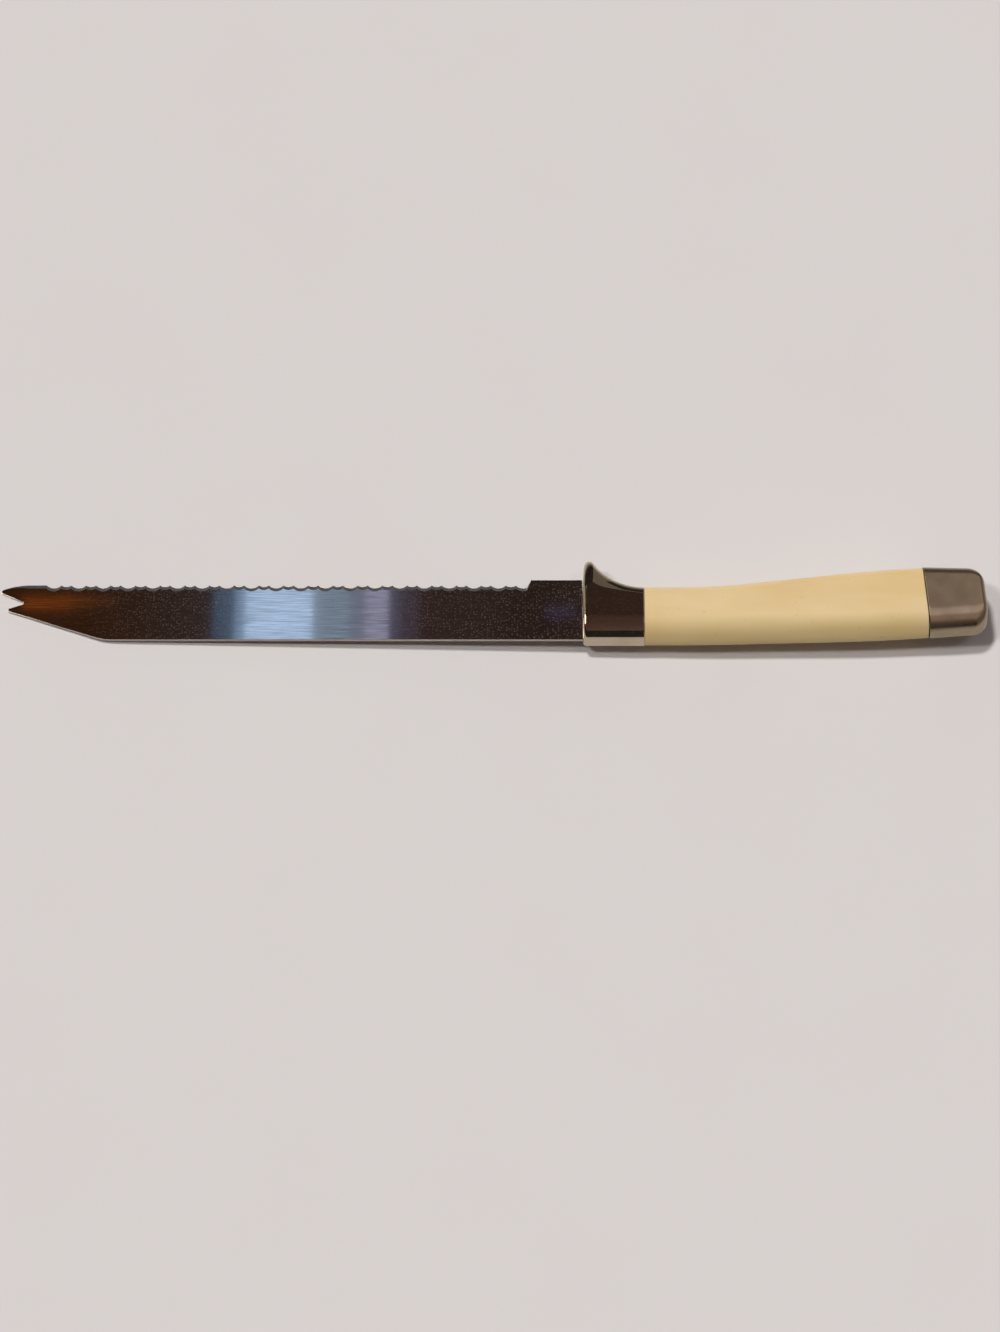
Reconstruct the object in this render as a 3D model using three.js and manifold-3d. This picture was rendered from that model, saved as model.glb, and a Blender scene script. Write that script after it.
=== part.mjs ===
// Carving knife: a fork-tipped, scalloped blade, a cast bolster with a finger guard, a one-piece moulded
// grip and a drawn end cap, held together by a threaded rod inside the grip.
// Millimetres, +Z up. The knife lies on its side: X runs from the blade's tip to the butt, Y from the
// spine to the cutting edge and Z through the thickness. While it is modelled, x = 0 is the bolster's
// front face, y = 0 the middle of the blade and z = 0 the middle of its thickness.
import * as THREE from "three";
import { mergeVertices } from "three/addons/utils/BufferGeometryUtils.js";
import Module from "manifold-3d";

// Blade
const BLADE_LENGTH = 203.2; // from the fork's longer tip to the bolster
const BLADE_WIDTH = 20.8; // from the spine to the points of the teeth
const SPINE_THICKNESS = 1.9;
const EDGE_THICKNESS = 0.7; // behind the ground bevel
const BEVEL_WIDTH = 1.4; // the cutting edge is ground on the upper face only
const RICASSO_LENGTH = 17.9; // the plain stretch next to the bolster
const RICASSO_RISE = 1.8; // how far it stands above the points of the teeth
const RICASSO_STEP = 1.2; // run of the step down to the last scallop

// Scallops of the cutting edge
const SERRATION_START = 15.4; // from the longer tip to the first scallop
const LARGE_SCALLOP = 5.16; // chord
const LARGE_SCALLOP_DEPTH = 1.1;
const SMALL_SCALLOP = 3.5;
const SMALL_SCALLOP_DEPTH = 0.6;

// Forked tip, measured from the longer tip and down from the line of the teeth
const TIP_SWEEP = 9.5; // length of the arc that leads the edge down to the longer tip
const TIP_DROP = 2.2;
const TIP_BLUNT = 1.1; // flat left on the shorter tip
const NOTCH_REACH = 8.7; // to the point where the notch's two sides would meet
const NOTCH_DROP = 7.1;
const NOTCH_UPPER_ANGLE = 23;
const NOTCH_LOWER_ANGLE = 18.5;
const NOTCH_END_RADIUS = 0.5;
const SHORT_TIP_SETBACK = 2.7;
const CLIP_LENGTH = 36.4; // where the clipped spine meets the straight spine
const CLIP_CORNER_RADIUS = 20;

// Tang and rod
const TANG_WIDTH = 5;
const TANG_LENGTH = 40; // from the bolster's front face
const ROD_DIAMETER = 6;
const ROD_LAP = 16; // length of tang held in the rod's slot
const THREAD_DIAMETER = 5;
const THREAD_LENGTH = 14;
const ROD_END_SPARE = 1; // rod showing past the nut

// Bolster and finger guard
const BOLSTER_LENGTH = 21.5;
const BOLSTER_FRONT_RADIUS = 1.8;
const GUARD_RISE = 10.2; // tip of the guard above the bolster's rear end
const GUARD_SET_IN = 0.3; // how far the bolster's rear end lies under the grip's top edge
const GUARD_TIP_RADIUS = 2.1;
const GUARD_CREASE_RISE = 3; // how far the flat side climbs towards the guard
const GUARD_FACET_TAPER = 0.14; // share of its thickness that the guard loses from the crease to its edge
const GUARD_TIP_TAPER = 0.22; // further share that it loses at the front face
const GUARD_TIP_TAPER_RUN = 4.8; // where that loss has run out, from the front face
const GUARD_EDGE_FULLNESS = 5; // exponent of the rounding along the guard's edge
const SOCKET_DEPTH = 6;

// Grip
const GRIP_LENGTH = 98.1;
const GRIP_THICKNESS = 13;
const GRIP_TOP_ROUND = 3.6; // height of the rounding from the flat side over the cutting edge's side
const GRIP_TOP_FULLNESS = 3; // exponent of that rounding's curve; 2 would be a plain ellipse
const GRIP_BOTTOM_ROUND = 10; // height of the rounding over the spine's side
const GRIP_FRONT_HEIGHT = 20.4;
const GRIP_REAR_HEIGHT = 25;
const GRIP_FRONT_DROP = 2; // middle of the grip's front end below the middle of the blade
const GRIP_BEND_START = 12; // from the bolster
const GRIP_BEND_LENGTH = 24;
const GRIP_BEND_ANGLE = 3.9;
const GRIP_SWELL_START = 15;
const GRIP_SWELL_LENGTH = 75;
const SOCKET_WALL = 2; // bolster metal around the grip's front spigot
const ROD_BORE_DIAMETER = 7.2;

// End cap
const CAP_LENGTH = 21;
const CAP_REAR_HEIGHT = 23.3;
const CAP_AXIS_ANGLE = 1.6;
const CAP_WALL = 0.8;
const CAP_CORNER_RADIUS = 5.2; // rounding of the butt seen from the side
const CAP_RIM_RADIUS = 1.8; // rounding of the butt across the thickness
const CAP_LAP = 11; // length of grip inside the cap
const METAL_PROUD = 0.2; // bolster and cap stand this far out of the grip

// Fastening inside the rear end of the grip
const SEAT_DEPTH = 2; // washer seat behind the cap's rim
const WASHER_DIAMETER = 10;
const WASHER_THICKNESS = 1.2;
const SPRING_WASHER_DIAMETER = 9;
const SPRING_WASHER_THICKNESS = 0.8;
const SPRING_WASHER_CONE = 0.5;
const NUT_ACROSS_FLATS = 8;
const NUT_HEIGHT = 4;

// Fits and fineness
const CLEARANCE = 0.3;
const CUT_PAST = 1; // how far a cutting shape runs past what it cuts
const QUARTER_STEPS = 6;
const LARGE_SCALLOP_STEPS = 6;
const SMALL_SCALLOP_STEPS = 4;
const ARC_STEPS = 8;
const ROUND_SIDES = 28;
const MERGE_DISTANCE = 1e-4;

const radians = THREE.MathUtils.degToRad;
const wasm = await Module();
wasm.setup();

// Closed geometry to a solid that can be joined and cut.
function toSolid(geometry) {
  const bare = geometry.clone();
  bare.deleteAttribute("normal");
  bare.deleteAttribute("uv");
  const merged = mergeVertices(bare, MERGE_DISTANCE);
  const vertProperties = Float32Array.from(merged.attributes.position.array);
  const triVerts = Uint32Array.from(merged.index.array);
  return new wasm.Manifold(new wasm.Mesh({ numProp: 3, vertProperties, triVerts }));
}

function toGeometry(solid) {
  const { vertProperties, triVerts } = solid.getMesh();
  return indexedGeometry(vertProperties, triVerts);
}

function indexedGeometry(positions, triangles) {
  const geometry = new THREE.BufferGeometry();
  geometry.setAttribute("position", new THREE.Float32BufferAttribute(positions, 3));
  geometry.setIndex(Array.from(triangles));
  geometry.computeVertexNormals();
  return geometry;
}

function join(first, ...others) {
  return toGeometry(others.reduce((sum, other) => sum.add(toSolid(other)), toSolid(first)));
}

function cut(body, ...tools) {
  return toGeometry(tools.reduce((rest, tool) => rest.subtract(toSolid(tool)), toSolid(body)));
}

// Round bar along X from one x to another, on the rod's axis.
function roundBar(diameter, fromX, toX) {
  const length = toX - fromX;
  const geometry = new THREE.CylinderGeometry(diameter / 2, diameter / 2, length, ROUND_SIDES);
  geometry.rotateZ(-Math.PI / 2);
  return geometry.translate((fromX + toX) / 2, 0, 0);
}

// Skin of equal rings, each a closed convex loop of points, with a flat face at both ends.
function loft(rings) {
  const count = rings[0].length;
  const positions = rings.flat().flatMap((point) => point.toArray());
  const triangles = [];
  for (let row = 0; row + 1 < rings.length; row += 1) {
    for (let side = 0; side < count; side += 1) {
      const here = row * count + side;
      const next = row * count + ((side + 1) % count);
      triangles.push(here, next, next + count, here, next + count, here + count);
    }
  }
  const last = (rings.length - 1) * count;
  for (let side = 1; side + 1 < count; side += 1) {
    triangles.push(0, side + 1, side, last, last + side, last + side + 1);
  }
  return indexedGeometry(positions, triangles);
}

// Ring of the grip's section at a station: flat sides joined by a full rounding over the top edge and a
// plain elliptic one under the bottom edge. The top can also taper from the end of the flat sides. The
// ring leans about the station's middle.
function sectionRing(station) {
  const { x, middle, lean, top, bottom, topRound, bottomRound, halfThickness } = station;
  const { topFullness = GRIP_TOP_FULLNESS, topTaper = 0 } = station;
  const points = [];
  const quarter = (centre, round, fullness, taper, start, firstStep, lastStep) => {
    const swell = (share) => Math.sign(share) * Math.abs(share) ** (2 / fullness);
    for (let step = firstStep; step <= lastStep; step += 1) {
      const angle = ((start + step / QUARTER_STEPS) * Math.PI) / 2;
      const share = swell(Math.cos(angle));
      const rise = centre + round * share - middle;
      points.push(new THREE.Vector3(
        x - rise * Math.sin(lean),
        middle + rise * Math.cos(lean),
        halfThickness * swell(Math.sin(angle)) * (1 - taper * share),
      ));
    }
  };
  quarter(top - topRound, topRound, topFullness, topTaper, 0, 0, QUARTER_STEPS);
  quarter(bottom + bottomRound, bottomRound, 2, 0, 1, 0, QUARTER_STEPS);
  quarter(bottom + bottomRound, bottomRound, 2, 0, 2, 1, QUARTER_STEPS);
  quarter(top - topRound, topRound, topFullness, topTaper, 3, 0, QUARTER_STEPS - 1);
  return points;
}

function range(from, to, steps) {
  return Array.from({ length: steps + 1 }, (_, step) => from + ((to - from) * step) / steps);
}

// The grip's line
const gripFront = BOLSTER_LENGTH;
const capRim = gripFront + GRIP_LENGTH;
const butt = capRim + CAP_LENGTH;

// Middle line of the grip: straight, then an even bend, then straight at the bend angle. In the cap the
// line continues at the cap's own angle.
function middleSlope(x) {
  const share = THREE.MathUtils.clamp((x - gripFront - GRIP_BEND_START) / GRIP_BEND_LENGTH, 0, 1);
  return Math.tan(radians(GRIP_BEND_ANGLE)) * share;
}

function gripMiddle(x) {
  const bent = THREE.MathUtils.clamp(x - gripFront - GRIP_BEND_START, 0, GRIP_BEND_LENGTH);
  const straight = Math.max(x - gripFront - GRIP_BEND_START - GRIP_BEND_LENGTH, 0);
  const steepest = Math.tan(radians(GRIP_BEND_ANGLE));
  return -GRIP_FRONT_DROP + steepest * ((bent * bent) / (2 * GRIP_BEND_LENGTH) + straight);
}

function gripHalfHeight(x) {
  const start = gripFront + GRIP_SWELL_START;
  const share = THREE.MathUtils.smoothstep(x, start, start + GRIP_SWELL_LENGTH);
  return THREE.MathUtils.lerp(GRIP_FRONT_HEIGHT, GRIP_REAR_HEIGHT, share) / 2;
}

function gripStation(x, inset) {
  const middle = gripMiddle(x);
  const halfHeight = gripHalfHeight(x) - inset;
  return {
    x,
    middle,
    lean: Math.atan(middleSlope(x)),
    top: middle + halfHeight,
    bottom: middle - halfHeight,
    topRound: GRIP_TOP_ROUND - inset,
    bottomRound: GRIP_BOTTOM_ROUND - inset,
    halfThickness: GRIP_THICKNESS / 2 - inset,
  };
}

// How far a quarter-round end of the given radius has drawn in at a distance from the end.
function roundedEnd(radius, fromEnd) {
  const reach = Math.max(radius - fromEnd, 0);
  return radius - Math.sqrt(radius * radius - reach * reach);
}

// Station of the cap's outside, taken in by an inset from the line of the grip. Where the butt draws the
// height in, the roundings shrink with it.
function capStation(x, inset, end) {
  const share = (x - capRim) / CAP_LENGTH;
  const rearHalf = CAP_REAR_HEIGHT / 2 - METAL_PROUD;
  const corner = roundedEnd(CAP_CORNER_RADIUS, end - x);
  const halfHeight = THREE.MathUtils.lerp(gripHalfHeight(capRim), rearHalf, share) - inset - corner;
  const middle = gripMiddle(capRim) + (x - capRim) * Math.tan(radians(CAP_AXIS_ANGLE));
  const heightLeft = halfHeight / (halfHeight + corner);
  return {
    x,
    middle,
    lean: radians(GRIP_BEND_ANGLE),
    top: middle + halfHeight,
    bottom: middle - halfHeight,
    topRound: (GRIP_TOP_ROUND - inset) * heightLeft,
    bottomRound: (GRIP_BOTTOM_ROUND - inset) * heightLeft,
    halfThickness: GRIP_THICKNESS / 2 - inset - roundedEnd(CAP_RIM_RADIUS, end - x),
  };
}

function capBlock(fromX, toX, inset, rounded) {
  const roundedTo = rounded ? toX : Infinity;
  const straightEnd = rounded ? toX - CAP_CORNER_RADIUS : toX;
  const stations = [fromX, straightEnd];
  if (rounded) {
    for (const angle of range(0, Math.PI / 2, ARC_STEPS).slice(1)) {
      stations.push(straightEnd + CAP_CORNER_RADIUS * Math.sin(angle));
    }
  }
  return loft(stations.map((x) => sectionRing(capStation(x, inset, roundedTo))));
}

// Blade outline
const toothLine = BLADE_WIDTH / 2;
const spineLine = -BLADE_WIDTH / 2;
const longTip = -BLADE_LENGTH;

function halfBladeThickness(y) {
  const share = (y - spineLine) / BLADE_WIDTH;
  return THREE.MathUtils.lerp(SPINE_THICKNESS, EDGE_THICKNESS, share) / 2;
}

// Each outline point carries how far the ground bevel reaches in from it.
function outlinePoint(x, y, bevel = 0) {
  return { x, y, bevel };
}

// One scallop, from its end nearer the bolster to its end nearer the tip, as a shallow circular arc.
// The arc can stop short of its end nearer the bolster.
function scallop(start, chord, depth, steps, stop = chord) {
  const radius = (chord * chord / 4 + depth * depth) / (2 * depth);
  return range(stop, 0, steps).slice(0, -1).map((along) => {
    const aside = along - chord / 2;
    const dip = Math.sqrt(radius * radius - aside * aside) - (radius - depth);
    return outlinePoint(start + along, toothLine - dip, BEVEL_WIDTH);
  });
}

function cuttingEdge() {
  const start = longTip + SERRATION_START;
  const pitch = LARGE_SCALLOP + SMALL_SCALLOP;
  const toothed = BLADE_LENGTH - SERRATION_START - RICASSO_LENGTH;
  const pairs = Math.floor((toothed - LARGE_SCALLOP) / pitch);
  const lastStop = LARGE_SCALLOP - RICASSO_STEP;
  const points = scallop(
    start + pairs * pitch, LARGE_SCALLOP, LARGE_SCALLOP_DEPTH, LARGE_SCALLOP_STEPS, lastStop,
  );
  for (let pair = pairs - 1; pair >= 0; pair -= 1) {
    const large = start + pair * pitch;
    points.push(...scallop(large + LARGE_SCALLOP, SMALL_SCALLOP, SMALL_SCALLOP_DEPTH, SMALL_SCALLOP_STEPS));
    points.push(...scallop(large, LARGE_SCALLOP, LARGE_SCALLOP_DEPTH, LARGE_SCALLOP_STEPS));
  }
  points.push(outlinePoint(start, toothLine, BEVEL_WIDTH));
  return points;
}

// Arc that leads the edge down to the longer tip, with the bevel running out along it.
function tipSweep() {
  const radius = (TIP_SWEEP * TIP_SWEEP + TIP_DROP * TIP_DROP) / (2 * TIP_DROP);
  return range(TIP_SWEEP, 0, ARC_STEPS).map((along) => {
    const back = TIP_SWEEP - along;
    const drop = radius - Math.sqrt(radius * radius - back * back);
    return outlinePoint(longTip + along, toothLine - drop, (BEVEL_WIDTH * along) / TIP_SWEEP);
  });
}

// Notch between the two tips: two straight sides and a rounded end, then the shorter tip.
function notch() {
  const apexX = longTip + NOTCH_REACH;
  const apexY = toothLine - NOTCH_DROP;
  const upper = radians(NOTCH_UPPER_ANGLE);
  const lower = radians(NOTCH_LOWER_ANGLE);
  const half = (upper + lower) / 2;
  const axis = Math.PI - (upper - lower) / 2;
  const toCentre = NOTCH_END_RADIUS / Math.sin(half);
  const centreX = apexX + toCentre * Math.cos(axis);
  const centreY = apexY + toCentre * Math.sin(axis);
  const points = [outlinePoint(longTip, apexY + NOTCH_REACH * Math.tan(upper))];
  for (const turn of range(Math.PI / 2 - half, half - Math.PI / 2, ARC_STEPS)) {
    const angle = axis - Math.PI + turn;
    points.push(outlinePoint(
      centreX + NOTCH_END_RADIUS * Math.cos(angle),
      centreY + NOTCH_END_RADIUS * Math.sin(angle),
    ));
  }
  const shortTipRun = NOTCH_REACH - SHORT_TIP_SETBACK;
  points.push(outlinePoint(longTip + SHORT_TIP_SETBACK, apexY - shortTipRun * Math.tan(lower)));
  return points;
}

// Straight clip from the shorter tip, with a rounded corner where it meets the spine.
function clip(tip) {
  const start = outlinePoint(tip.x, tip.y - TIP_BLUNT);
  const cornerX = longTip + CLIP_LENGTH;
  const slope = Math.atan2(start.y - spineLine, cornerX - start.x);
  const tangent = CLIP_CORNER_RADIUS * Math.tan(slope / 2);
  const points = [start];
  for (const turn of range(slope, 0, ARC_STEPS)) {
    points.push(outlinePoint(
      cornerX + tangent - CLIP_CORNER_RADIUS * Math.sin(turn),
      spineLine + CLIP_CORNER_RADIUS * (1 - Math.cos(turn)),
    ));
  }
  return points;
}

function bladeOutline() {
  const fork = notch();
  const halfTang = TANG_WIDTH / 2;
  return [
    ...clip(fork.at(-1)),
    outlinePoint(0, spineLine),
    outlinePoint(0, -halfTang),
    outlinePoint(TANG_LENGTH, -halfTang),
    outlinePoint(TANG_LENGTH, halfTang),
    outlinePoint(0, halfTang),
    outlinePoint(0, toothLine + RICASSO_RISE),
    outlinePoint(-RICASSO_LENGTH, toothLine + RICASSO_RISE),
    ...cuttingEdge(),
    ...tipSweep(),
    ...fork,
  ];
}

// Triangles of a flat outline, all turned to face up.
function flatFaces(points) {
  const flat = points.map((point) => new THREE.Vector2(point.x, point.y));
  const faces = THREE.ShapeUtils.triangulateShape(flat, []);
  return faces.map((face) => {
    const corners = face.map((index) => flat[index]);
    return THREE.ShapeUtils.isClockWise(corners) ? face.toReversed() : face;
  });
}

// Solid between the blade's lower face and its upper face, which stops short at the ground bevel.
function bladeGeometry() {
  const outline = bladeOutline();
  const lower = outline.map(({ x, y }) => new THREE.Vector3(x, y, -halfBladeThickness(y)));
  const upper = outline.map(({ x, y, bevel }) => {
    const faceY = y - bevel;
    return new THREE.Vector3(x, faceY, halfBladeThickness(faceY));
  });
  const count = outline.length;
  const triangles = [];
  for (const [a, b, c] of flatFaces(lower)) {
    triangles.push(a, c, b);
  }
  for (const [a, b, c] of flatFaces(upper)) {
    triangles.push(count + a, count + b, count + c);
  }
  for (let here = 0; here < count; here += 1) {
    const next = (here + 1) % count;
    triangles.push(here, next, count + next, here, count + next, count + here);
  }
  return indexedGeometry([...lower, ...upper].flatMap((point) => point.toArray()), triangles);
}

// Bolster
const gripFrontTop = gripMiddle(gripFront) + GRIP_FRONT_HEIGHT / 2;
const bolsterTop = gripFrontTop - GUARD_SET_IN;
const bolsterBottom = gripMiddle(gripFront) - GRIP_FRONT_HEIGHT / 2 - METAL_PROUD;
const bolsterHalfThickness = GRIP_THICKNESS / 2 + METAL_PROUD;

// Top line of the bolster: a small round guard tip that runs into one hollow arc, level at the rear end.
// The arc's radius follows from touching both the tip's circle and the rear end.
const guardRun = BOLSTER_LENGTH - GUARD_TIP_RADIUS;
const guardFall = GUARD_RISE - GUARD_TIP_RADIUS;
const hollowRadius = (guardRun ** 2 + guardFall ** 2 - GUARD_TIP_RADIUS ** 2) / (2 * GUARD_RISE);
const tipTouch = GUARD_TIP_RADIUS * (1 + guardRun / (hollowRadius + GUARD_TIP_RADIUS));

function guardLine(x) {
  if (x < tipTouch) {
    const aside = x - GUARD_TIP_RADIUS;
    return bolsterTop + guardFall + Math.sqrt(GUARD_TIP_RADIUS ** 2 - aside ** 2);
  }
  const aside = BOLSTER_LENGTH - x;
  return bolsterTop + hollowRadius - Math.sqrt(hollowRadius ** 2 - aside ** 2);
}

function bolsterStation(x) {
  const inset = roundedEnd(BOLSTER_FRONT_RADIUS, x);
  const rearCrease = gripFrontTop - GRIP_TOP_ROUND;
  const crease = rearCrease + GUARD_CREASE_RISE * (1 - x / BOLSTER_LENGTH);
  const top = guardLine(x) - inset;
  const tipShare = Math.max(1 - x / GUARD_TIP_TAPER_RUN, 0);
  return {
    x,
    middle: gripMiddle(gripFront),
    lean: 0,
    top,
    bottom: bolsterBottom + inset,
    topRound: top - crease,
    topFullness: GUARD_EDGE_FULLNESS,
    topTaper: GUARD_FACET_TAPER + GUARD_TIP_TAPER * tipShare ** 2,
    bottomRound: GRIP_BOTTOM_ROUND + METAL_PROUD - inset,
    halfThickness: bolsterHalfThickness - inset,
  };
}

function bolsterGeometry() {
  const frontTurns = range(0, Math.PI / 2, QUARTER_STEPS);
  const front = frontTurns.map((angle) => BOLSTER_FRONT_RADIUS * (1 - Math.cos(angle)));
  const tip = range(BOLSTER_FRONT_RADIUS, tipTouch, QUARTER_STEPS).slice(1);
  const hollow = range(tipTouch, BOLSTER_LENGTH, ARC_STEPS).slice(1);
  const body = loft([...front, ...tip, ...hollow].map((x) => sectionRing(bolsterStation(x))));
  const socketFloor = BOLSTER_LENGTH - SOCKET_DEPTH - CLEARANCE;
  const socket = spigot(socketFloor, BOLSTER_LENGTH + CUT_PAST, SOCKET_WALL - METAL_PROUD);
  const slot = tangSlot(-CUT_PAST, socketFloor + CUT_PAST, TANG_WIDTH + 2 * CLEARANCE);
  return cut(body, socket, slot);
}

// Straight block with the section of the grip's front end, taken in by an inset.
function spigot(fromX, toX, inset) {
  const { middle, top, bottom, topRound, bottomRound, halfThickness } = gripStation(gripFront, inset);
  const section = { middle, top, bottom, topRound, bottomRound, halfThickness, lean: 0 };
  return loft([fromX, toX].map((x) => sectionRing({ ...section, x })));
}

// Slot as thick as the flat tang and its clearance.
function tangSlot(fromX, toX, width) {
  const thickness = 2 * (halfBladeThickness(-TANG_WIDTH / 2) + CLEARANCE);
  const slot = new THREE.BoxGeometry(toX - fromX, width, thickness);
  return slot.translate((fromX + toX) / 2, 0, 0);
}

// Grip
const seatX = capRim + SEAT_DEPTH;
const gripEnd = capRim + CAP_LAP;
const capInset = CAP_WALL - METAL_PROUD;

function gripGeometry() {
  const bendStart = gripFront + GRIP_BEND_START;
  const swellStart = gripFront + GRIP_SWELL_START;
  const stations = [
    gripFront,
    ...range(bendStart, swellStart + GRIP_SWELL_LENGTH, 2 * ARC_STEPS),
    capRim,
  ];
  const body = loft(stations.map((x) => sectionRing(gripStation(x, 0))));
  const frontSpigot = spigot(
    gripFront - SOCKET_DEPTH, gripFront + CUT_PAST, SOCKET_WALL - METAL_PROUD + CLEARANCE,
  );
  const rearSpigot = capBlock(capRim - CUT_PAST, gripEnd, capInset + CLEARANCE, false);
  const bore = roundBar(ROD_BORE_DIAMETER, 0, seatX + CUT_PAST);
  const counterbore = roundBar(WASHER_DIAMETER + 2 * CLEARANCE, seatX, butt);
  return cut(join(body, frontSpigot, rearSpigot), bore, counterbore);
}

// End cap: a drawn shell, open towards the grip.
function capGeometry() {
  const rim = capRim + CLEARANCE;
  const outside = capBlock(rim, butt, -METAL_PROUD, true);
  const inside = capBlock(rim - CUT_PAST, butt - CAP_WALL, capInset, true);
  return cut(outside, inside);
}

// Cement between the end of the grip and the inside of the cap.
function cementGeometry() {
  return capBlock(gripEnd + CLEARANCE, butt - CAP_WALL - CLEARANCE, capInset + CLEARANCE, true);
}

// Rod and fasteners, in the order in which they go on
const rodStart = TANG_LENGTH - ROD_LAP;
const springX = seatX + WASHER_THICKNESS + CLEARANCE;
const nutX = springX + SPRING_WASHER_THICKNESS + SPRING_WASHER_CONE + CLEARANCE;
const rodEnd = nutX + NUT_HEIGHT + ROD_END_SPARE;
const threadHole = THREAD_DIAMETER + 2 * CLEARANCE;

function rodGeometry() {
  const threadStart = rodEnd - THREAD_LENGTH;
  const shank = roundBar(ROD_DIAMETER, rodStart, threadStart);
  const thread = roundBar(THREAD_DIAMETER, threadStart - CUT_PAST, rodEnd);
  const slot = tangSlot(rodStart - CUT_PAST, TANG_LENGTH + CLEARANCE, ROD_DIAMETER + 2 * CUT_PAST);
  return cut(join(shank, thread), slot);
}

// Ring turned about X from a closed profile of [radius, x] points.
function turnedRing(profile) {
  const closed = [...profile, profile[0]].map(([radius, x]) => new THREE.Vector2(radius, x));
  return new THREE.LatheGeometry(closed, ROUND_SIDES).rotateZ(-Math.PI / 2);
}

function washerGeometry() {
  const hole = threadHole / 2;
  const rim = WASHER_DIAMETER / 2;
  const back = seatX + WASHER_THICKNESS;
  return turnedRing([[hole, seatX], [rim, seatX], [rim, back], [hole, back]]);
}

function springWasherGeometry() {
  const hole = threadHole / 2;
  const rim = SPRING_WASHER_DIAMETER / 2;
  const crown = springX + SPRING_WASHER_CONE;
  return turnedRing([
    [hole, crown],
    [rim, springX],
    [rim, springX + SPRING_WASHER_THICKNESS],
    [hole, crown + SPRING_WASHER_THICKNESS],
  ]);
}

function nutGeometry() {
  const corner = NUT_ACROSS_FLATS / Math.sqrt(3);
  const turns = range(0, 2 * Math.PI, 6).slice(0, 6);
  const corners = turns.map((turn) => new THREE.Vector2(corner * Math.cos(turn), corner * Math.sin(turn)));
  const shape = new THREE.Shape(corners);
  const hole = new THREE.Path().absarc(0, 0, threadHole / 2, 0, 2 * Math.PI, true);
  shape.holes.push(hole);
  const nut = new THREE.ExtrudeGeometry(shape, {
    depth: NUT_HEIGHT, bevelEnabled: false, curveSegments: ROUND_SIDES,
  });
  return nut.rotateY(Math.PI / 2).translate(nutX, 0, 0);
}

// Finishes
const finishes = {
  blade: { color: "#8d8378", metalness: 1, roughness: 0.28 },
  plate: { color: "#b5aca0", metalness: 1, roughness: 0.12 },
  cap: { color: "#a3968a", metalness: 1, roughness: 0.3 },
  grip: { color: "#ead9ad", metalness: 0, roughness: 0.35 },
  fastener: { color: "#80807c", metalness: 1, roughness: 0.45 },
  cement: { color: "#6b6258", metalness: 0, roughness: 0.9 },
};

function part(name, geometry, finish) {
  const mesh = new THREE.Mesh(geometry, new THREE.MeshStandardMaterial(finish));
  mesh.name = name;
  return mesh;
}

const knife = new THREE.Group();
knife.add(
  part("blade", bladeGeometry(), finishes.blade),
  part("bolster_guard", bolsterGeometry(), finishes.plate),
  part("handle_grip", gripGeometry(), finishes.grip),
  part("end_cap", capGeometry(), finishes.cap),
  part("tang_rod", rodGeometry(), finishes.fastener),
  part("tang_washer", washerGeometry(), finishes.fastener),
  part("spring_washer", springWasherGeometry(), finishes.fastener),
  part("tang_nut", nutGeometry(), finishes.fastener),
  part("cap_cement", cementGeometry(), finishes.cement),
);

// The origin is the middle of the underside of the knife as it lies.
const box = new THREE.Box3().setFromObject(knife);
const middle = box.getCenter(new THREE.Vector3());
knife.position.set(-middle.x, -middle.y, -box.min.z);

export default knife;
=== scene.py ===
"""Dress the carving knife: fine surfaces for its blade, bolster, grip and end cap, with their finishes.

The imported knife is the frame. Every new piece is worked out in millimetres from the bolster's front face,
on the rod's axis, with X towards the butt, Y towards the cutting edge and Z up, and is then put where the
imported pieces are. A plain pale floor, soft light and a camera above the knife complete the picture.
"""

import logging
from dataclasses import dataclass, field
from enum import Enum
from math import cos, radians, sin, tan
from typing import Any, ClassVar

import bpy
import numpy as np
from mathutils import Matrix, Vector


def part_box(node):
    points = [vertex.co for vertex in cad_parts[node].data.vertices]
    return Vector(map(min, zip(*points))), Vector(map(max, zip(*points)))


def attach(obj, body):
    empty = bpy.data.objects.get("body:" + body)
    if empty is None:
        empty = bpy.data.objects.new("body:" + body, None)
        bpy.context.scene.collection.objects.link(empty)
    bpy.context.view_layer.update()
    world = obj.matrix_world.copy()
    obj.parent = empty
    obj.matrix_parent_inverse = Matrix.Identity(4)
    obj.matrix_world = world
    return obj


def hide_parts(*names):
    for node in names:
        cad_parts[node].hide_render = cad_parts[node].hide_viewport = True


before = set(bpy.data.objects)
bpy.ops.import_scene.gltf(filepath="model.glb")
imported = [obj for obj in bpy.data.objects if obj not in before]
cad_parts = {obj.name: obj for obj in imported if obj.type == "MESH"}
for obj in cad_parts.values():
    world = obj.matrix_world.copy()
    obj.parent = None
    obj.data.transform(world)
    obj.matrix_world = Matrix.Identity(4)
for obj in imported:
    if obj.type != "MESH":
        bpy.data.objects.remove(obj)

LOG = logging.getLogger("carving_knife")
BODY = "root"
MM = 0.001
SHARP_ANGLE = radians(32)
NOISE_SPAN = (0.3, 0.7)  # most of soft noise lies between these values
DOT_STRENGTH = (0.2, 1.0)  # random values between which a dot goes from none to full strength
DOT_REACH = (0.32, 0.12)  # shares of the spacing between which a dot goes from its rim to its middle

Array = np.ndarray
Rgba = tuple[float, float, float, float]
Size = float | tuple[float, float, float]


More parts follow.
